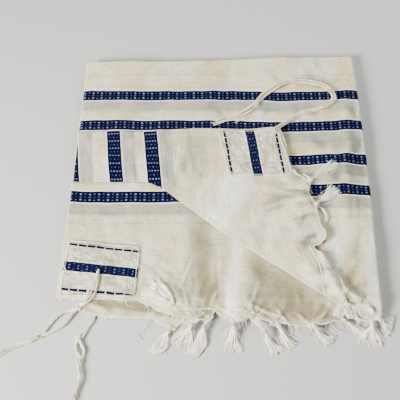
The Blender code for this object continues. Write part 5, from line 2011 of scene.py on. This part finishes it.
# %% Rolled hems and selvedges
def edge_yarn(points, radius, seed):
    """The tightly rolled edge of the cloth: a soft cord that swells and thins."""
    yarn = []
    for point in points:
        place = Vector(point)
        swell = 1 + 0.35 * noise.noise(place * 130 + Vector((seed, 0.0, 0.0)))
        yarn.append((place, radius * swell / FIBRE_RADIUS))
    return yarn


hem_edges = yarn_object(
    "hem_edges",
    [
        edge_yarn([point.place for point in sections[-1][TUCK_ROWS + FAR_ROLL_STEPS:]], 0.0010, 1),
        edge_yarn([column[0] for column in second_columns], 0.0009, 2),
        edge_yarn([column[0] for column in third_columns], 0.0008, 3),
        edge_yarn(second_columns[0], 0.0007, 4),
        edge_yarn(third_columns[0], 0.0007, 5),
    ],
    FIBRE_RADIUS, [], stitch_finish,
)
print("rolled edges:", len(hem_edges.data.splines))

# %% [markdown]
# A few longer warp ends hang out of the fringe and lie on the table in hooks and bows. So
# few of them are worth listing one by one.

# %% Stray ends
Stray = namedtuple("Stray", "on radius places")
STRAYS = [
    Stray("table", 0.0005, [
        (0.148, -0.004), (0.1442, -0.01), (0.1343, -0.0242), (0.127, -0.031), (0.1347, -0.039),
    ]),
    Stray("table", 0.0004, [
        (0.15, -0.003), (0.141, -0.009), (0.138, -0.015), (0.142, -0.02), (0.147, -0.018),
    ]),
    Stray("second_patch", 0.0005, [(0.006, 0.093), (0.007, 0.086), (0.0082, 0.078), (0.0131, 0.0674)]),
    Stray("table", 0.0004, [(0.256, -0.013), (0.248, -0.024), (0.238, -0.032), (0.23, -0.034)]),
    Stray("table", 0.0004, [(0.312, -0.015), (0.316, -0.022), (0.313, -0.03), (0.318, -0.038)]),
    Stray("table", 0.0005, [(0.356, -0.017), (0.36, -0.024), (0.357, -0.03), (0.364, -0.034)]),
    Stray("table", 0.0005, [
        (0.418, -0.019), (0.426, -0.027), (0.436, -0.024), (0.444, -0.018), (0.448, -0.009),
    ]),
    Stray("table", 0.0005, [
        (0.422, -0.018), (0.431, -0.024), (0.44, -0.028), (0.446, -0.021), (0.45, -0.012),
    ]),
]
STRAY_STEPS = 16


def stray_yarn(stray):
    lift = stray.radius + FLOOR_CLEARANCE
    points = [Vector((x, y, top_of(stray.on, x, y) + lift)) for x, y in stray.places]
    return [(place, stray.radius / FIBRE_RADIUS) for place in smooth_path(points, STRAY_STEPS)]


strays = yarn_object(
    "stray_ends", [stray_yarn(stray) for stray in STRAYS], FIBRE_RADIUS, [],
    fringe_finish,
)
print("stray ends:", len(strays.data.splines))

# %% [markdown]
# Each patch is sewn down with small stitches close to its edge. One stitch is a short
# raised yarn that dips at both ends. Beside the hem of the flap, and along the ruffled
# part of the second hem, runs a raised overcast seam: one thick yarn that swells at every
# other stitch.

# %% Stitches
STITCH_LENGTH = 0.0034
STITCH_GAP = 0.0009
STITCH_RADIUS = 0.00042
SEAM_STEPS = 60
STITCH_SHAPE = ((0.0, -0.0004), (0.2, 0.0002), (0.8, 0.0002), (1.0, -0.0004))  # share, rise
PATCH_SEAM_INSET = 0.00308


def stitches(corners, height):
    """Stitches along a line of places; height gives the face they lie on."""
    yarns = []
    for start, end in zip(corners, corners[1:]):
        run = (end - start).normalized()
        count = int((end - start).length / (STITCH_LENGTH + STITCH_GAP))
        for stitch in range(count):
            yarn = []
            for share, rise in STITCH_SHAPE:
                along = stitch * (STITCH_LENGTH + STITCH_GAP) + STITCH_LENGTH * share
                spot = start + run * along
                yarn.append((Vector((spot.x, spot.y, height(spot) + rise)), 1.0))
            yarns.append(yarn)
    return yarns


def patch_seam(corners, height, seed):
    """The stitched loop just inside a patch's edge."""
    middle = sum((Vector(corner) for corner in corners), Vector((0.0, 0.0))) / 4
    loop = [Vector(c) + (middle - Vector(c)).normalized() * PATCH_SEAM_INSET for c in corners]
    face = PATCH_THICKNESS / 2 + STITCH_RADIUS * 0.4
    return stitches(loop + loop[:1], lambda spot: patch_height(height, spot, seed) + face)


def raised_seam(rows, height, fullness):
    """An overcast seam along the rows' places, which swells at every other stitch."""
    line = smooth_path([Vector((row.x, row.y, 0.0)) for row in rows], SEAM_STEPS)
    yarn = []
    for index, spot in enumerate(line):
        place = (spot.x, spot.y, height(spot.x, spot.y) + CLOTH_THICKNESS / 2)
        swell = 1.0 + 0.5 * (index % 2) + 0.9 * noise.noise(Vector(place) * 240)
        yarn.append((Vector(place), fullness * swell))
    return [yarn]


second_patch_seam = patch_seam(SECOND_PATCH, second_height, SECOND_PUCKER)
flap_patch_seam = patch_seam(FLAP_PATCH, flap_height, FLAP_PUCKER)
stitching = [
    yarn_object(name, yarns, STITCH_RADIUS, [], stitch_finish)
    for name, yarns, slot in (
        ("stitches_patch_second", second_patch_seam, "patch_cloth"),
        ("stitches_patch_flap", flap_patch_seam, "patch_cloth"),
        ("stitches_flap_hem", raised_seam(FLAP_SEAM, flap_height, 2.0), "shawl_cloth"),
        ("stitches_second_hem", raised_seam(SECOND_SEAM, second_height, 1.2), "shawl_cloth"),
    )
]
print("stitched runs:", len(stitching))

# %% [markdown]
# The corner strings, called tzitzit, are doubled cords knotted through a hole in each
# corner patch. Each cord is two or three plies twisted together, so each ply is a helix
# about the cord's smooth path. A knot is the same cord wound round its own path.
#
# Strands pass through given spots: the piece they lie on there, and how far they
# clear it. Those in front of a knot point to `ahead`, and those at its back come from
# behind. The first string hangs from the second layer's patch.

# %% Knots of the second layer's string
Spot = namedtuple("Spot", "on x y rise")
Knot = namedtuple("Knot", "at ahead strands thickness back_share front back", defaults=((), ()))


def strand(piece, *places):
    """The spots of a strand that lies on one piece."""
    return [Spot(piece, *place) for place in places]


TZITZIT_SECOND_CORDS = Knot(
    Spot("table", 0.0361, 0.013, 0.0034), Corner(0.029, -0.005),
    front=[
        strand(
            "table", (0.0262, 0.004, 0.0016), (0.0159, -0.0125, 0.0001), (-0.0002, -0.0237, 0.0001),
            (-0.0165, -0.0312, 0.0001),
        ),
        strand(
            "table", (0.023, 0.009, 0.0018), (0.0118, 0.0062, 0.0004), (0.0022, -0.0016, 0.0001),
            (-0.0068, -0.0132, 0.0001), (-0.0158, -0.0282, 0.0001),
        ),
    ],
    back=[
        strand(
            "second_patch", (0.045, 0.0215, -0.003), (0.05, 0.0345, 0.0004),
            (0.0551, 0.048, 0.0002), (0.0603, 0.0617, 0.0002), (0.0622, 0.07, 0.0),
        ),
        strand(
            "second_patch", (0.047, 0.02, -0.002), (0.0534, 0.03, 0.001),
            (0.0582, 0.044, 0.001), (0.0612, 0.06, 0.0006), (0.0626, 0.0704, 0.0002),
        ),
        strand(
            "second_patch", (0.05, 0.0175, -0.003), (0.0576, 0.0262, 0.0002), (0.0614, 0.04, 0.0),
            (0.0626, 0.056, 0.0), (0.063, 0.07, 0.0),
        ),
    ],
    strands=3, thickness=0.0022, back_share=0.62,
)
TZITZIT_SECOND_ENDS = Knot(
    Spot("table", -0.0206, -0.033, 0.0012), Corner(-0.0426, -0.045),
    strands=5, thickness=0.0014, back_share=1.0,
)
print("spots of the second string:", sum(map(len, TZITZIT_SECOND_CORDS.front + TZITZIT_SECOND_CORDS.back)))

# %% Knots of the third layer's and the flap's string
TZITZIT_THIRD_CORDS = Knot(
    Spot("table", 0.038, -0.036, 0.001), Corner(0.04, -0.058),
    front=[
        strand("table", (0.044, -0.046, 0.0), (0.048, -0.054, 0.0), (0.0475, -0.063, 0.0)),
        strand("table", (0.035, -0.046, 0.0), (0.0365, -0.0545, 0.0), (0.042, -0.063, 0.0)),
    ],
    back=[
        strand(
            "table", (0.0435, -0.0353, 0.0001), (0.0512, -0.0193, 0.0001), (0.0565, -0.0097, 0.0001),
            (0.0589, -0.0015, -0.0006), (0.06, 0.004, -0.0012),
        ),
    ],
    strands=2, thickness=0.0020, back_share=0.80,
)
TZITZIT_THIRD_ENDS = Knot(
    Spot("table", 0.0447, -0.0674, 0.0012), Corner(0.0441, -0.09),
    strands=5, thickness=0.0014, back_share=1.0,
)
TZITZIT_FLAP = Knot(
    Spot("top", 0.4319, 0.39, 0.001), Corner(0.45, 0.401),
    back=[
        [
            Spot("top", 0.406, 0.3805, 0.0),
            Spot("top", 0.3765, 0.358, 0.0016),
            Spot("flap_patch", 0.348, 0.329, 0.003),
        ],
        [
            Spot("top", 0.404, 0.3825, 0.0006),
            Spot("top", 0.3735, 0.3592, 0.0024),
            Spot("flap_patch", 0.345, 0.331, 0.0036),
        ],
        [
            Spot("top", 0.4025, 0.3845, 0.0),
            Spot("top", 0.3705, 0.3602, 0.0016),
            Spot("flap_patch", 0.3415, 0.332, 0.003),
        ],
    ],
    strands=3, thickness=0.0016, back_share=1.20,
)
print("flap string clears the patch by", TZITZIT_FLAP.back[0][-1].rise * 1000, "mm")

# %% [markdown]
# Below the last knot the strands wind loosely round one another and open towards their
# ends. The whole free part of the flap's string lies that way. A twine is the one line
# that all its strands follow, so a real tangle takes only one list of places.

# %% Twists and twines
CORD_STEP = 0.0011
Twist = namedtuple("Twist", "plies pitch fullness")
# Soft cotton swells past the thickness it is pulled to, so each cord is fuller than that.
CORD_TWIST = Twist(3, 0.0170, 2.2)
END_TWIST = Twist(2, 0.0070, 1.6)
PLY_SHARE = 4.2  # a cord's width in ply radii
Twine = namedtuple("Twine", "strands pitch narrow wide places")
SECOND_TWINE = Twine(5, 0.160, 0.0024, 0.0050, [
    (-0.0206, -0.033), (-0.03, -0.0382), (-0.043, -0.0438), (-0.061, -0.051), (-0.082, -0.0635),
    (-0.106, -0.075), (-0.1379, -0.0872),
])
THIRD_TWINE = Twine(5, 0.062, 0.0022, 0.0056, [
    (0.0447, -0.0674), (0.0425, -0.078), (0.044, -0.09), (0.0452, -0.1), (0.0415, -0.114),
    (0.0385, -0.127), (0.0405, -0.148), (0.0455, -0.17), (0.056, -0.195), (0.069, -0.216),
    (0.089, -0.2382),
])
FLAP_TWINE = Twine(6, 0.300, 0.0034, 0.0070, [
    (0.4319, 0.39), (0.4472, 0.3972), (0.459, 0.41), (0.4545, 0.429), (0.439, 0.444),
    (0.4075, 0.4505), (0.381, 0.449), (0.354, 0.4345), (0.3285, 0.411), (0.3155, 0.39),
    (0.293, 0.375), (0.269, 0.366), (0.24, 0.3565),
])
LIFT_LIMIT = 0.0024  # a wide twine still lies flat
print("twine strands:", [twine.strands for twine in (SECOND_TWINE, THIRD_TWINE, FLAP_TWINE)])

# %% Paths of cords and strands
def level_heading(start, end):
    return Vector((end[0] - start[0], end[1] - start[1], 0.0)).normalized()


def cord_path(centre, spots, width):
    """A fine smooth path from a knot's middle through its spots."""
    points = [centre]
    for spot in spots:
        lie = top_of(spot.on, spot.x, spot.y) + width / 2 + FLOOR_CLEARANCE + spot.rise
        points.append(Vector((spot.x, spot.y, lie)))
    length = sum((b - a).length for a, b in zip(points, points[1:]))
    return smooth_path(points, max(int(length / CORD_STEP), 12))


def twisted(path, width, twist, start_angle, share):
    """The plies of one cord, or of a share of it, as fine yarns about its path."""
    ply_radius = width / PLY_SHARE
    yarns = plies(path, ply_radius * share * 1.08, twist.pitch, twist.plies, start_angle)
    return [[(place, share) for place, _ in yarn] for yarn in yarns], ply_radius


def twined(rng, twine, thickness, on):
    """The paths of strands that wind round one another and open towards their ends."""
    width = thickness * END_TWIST.fullness
    points = [Vector((x, y, top_of(on, x, y) + width + FLOOR_CLEARANCE)) for x, y in twine.places]
    length = sum((b - a).length for a, b in zip(points, points[1:]))
    centre = smooth_path(points, int(length / CORD_STEP))
    strands = []
    for order in range(twine.strands):
        reach, wander = rng.uniform(0.90, 1.0) if order else 1.0, rng.uniform(0.0, 6.3)
        path = []
        for step in range(int(len(centre) * reach)):
            share = step / len(centre)
            angle = 2 * math.pi * (order / twine.strands + length * share / twine.pitch)
            angle += 0.8 * math.sin(wander + share * 9)
            spread = twine.narrow + (twine.wide - twine.narrow) * ease((share - 0.4) / 0.6)
            spread *= ease(0.25 + share * 12)
            side, rise = around(centre, step)
            lifted = rise * (1 + math.sin(angle)) * min(spread, LIFT_LIMIT) * 0.8
            path.append(centre[step] + side * math.cos(angle) * spread + lifted)
        strands.append(path)
    return strands


# %% Corner strings
KNOT_TURNS = 2.5
KNOT_STEPS = 64


def knot_winding(centre, heading, width, thickness):
    """A cord wound round the knot, in turns that cross one another."""
    left = Vector((-heading.y, heading.x, 0.0))
    path = []
    for step in range(KNOT_STEPS + 1):
        share = step / KNOT_STEPS
        angle = 2 * math.pi * KNOT_TURNS * share
        along = heading * (thickness * 1.9 * math.sin(2 * math.pi * share * 1.5))
        around_it = left * math.cos(angle) * (width / 2 + thickness * 0.25)
        rise = Vector((0.0, 0.0, math.sin(angle) * thickness * 0.95))
        path.append(centre + along + around_it + rise)
    return path


def make_strings(name, node, knot, seed, twine=None):
    """A knot with its cords, or with the strands of a twine, as one curve object."""
    rng = random.Random(seed)
    twist = END_TWIST if twine else CORD_TWIST
    width = knot.thickness * twist.fullness
    middle = top_of(knot.at.on, knot.at.x, knot.at.y) + width * 0.80 + knot.at.rise
    centre = Vector((knot.at.x, knot.at.y, middle))
    heading = level_heading(centre, knot.ahead)
    if twine:
        ahead = twined(rng, twine, knot.thickness, knot.at.on)
    else:
        ahead = [cord_path(centre, spots, width) for spots in knot.front]
    behind = [cord_path(centre, spots, width) for spots in knot.back]
    yarns = []
    for order, path in enumerate(ahead + behind):
        share = 1.0 if order < len(ahead) else knot.back_share
        cord, radius = twisted(path, width, twist, rng.uniform(0.0, 6.3), share)
        yarns += cord
    wound = knot.thickness * (1.2 + 0.45 * knot.strands)
    winding = knot_winding(centre, heading, wound, knot.thickness)
    yarns += plies(winding, radius * 0.9, knot.thickness * 3.6, 2)
    return yarn_object(name, yarns, radius, [node], cord_finish)


corner_strings = [
    make_strings("strings_second_cords", "tzitzit_second_cords", TZITZIT_SECOND_CORDS, 31),
    make_strings("strings_second_ends", "tzitzit_second_ends", TZITZIT_SECOND_ENDS, 32, SECOND_TWINE),
    make_strings("strings_third_cords", "tzitzit_third_cords", TZITZIT_THIRD_CORDS, 33),
    make_strings("strings_third_ends", "tzitzit_third_ends", TZITZIT_THIRD_ENDS, 34, THIRD_TWINE),
    make_strings("strings_flap", "tzitzit_flap", TZITZIT_FLAP, 35, FLAP_TWINE),
]
print("corner strings:", len(corner_strings))

# %% [markdown]
# The pile lies on a plain pale floor, which is only the stage and no part of the object.

# %% Floor
FLOOR_SIZE = 6.0
FLOOR_DROP = 0.0002
floor_finish = Finish("floor", 0.75)
floor_finish.shader.inputs["Sheen Weight"].default_value = 0.0
floor_place = floor_finish.add("ShaderNodeTexCoord", output=3)
floor_grain = floor_finish.cloud(floor_place, 3.0)
pale = floor_finish.blend(floor_grain, linear("BDBDBB"), linear("C1C1BF"))
floor_material = floor_finish.end(pale, floor_grain, 0.0001)
bm = bmesh.new()
bmesh.ops.create_grid(bm, x_segments=4, y_segments=4, size=FLOOR_SIZE)
floor = finish_mesh("floor", bm)
floor.location.z = -FLOOR_DROP
floor.data.materials.append(floor_material)
print("floor:", floor.dimensions[:2])

# %% [markdown]
# Last, we list the yarn pieces that go with the hems.

# %% Pieces of the hems
hem_pieces = tassels + [tassel_wraps, hem_edges, loose_bundles, strays]
hem_pieces + [fray["fray_second"], stitching[3]]
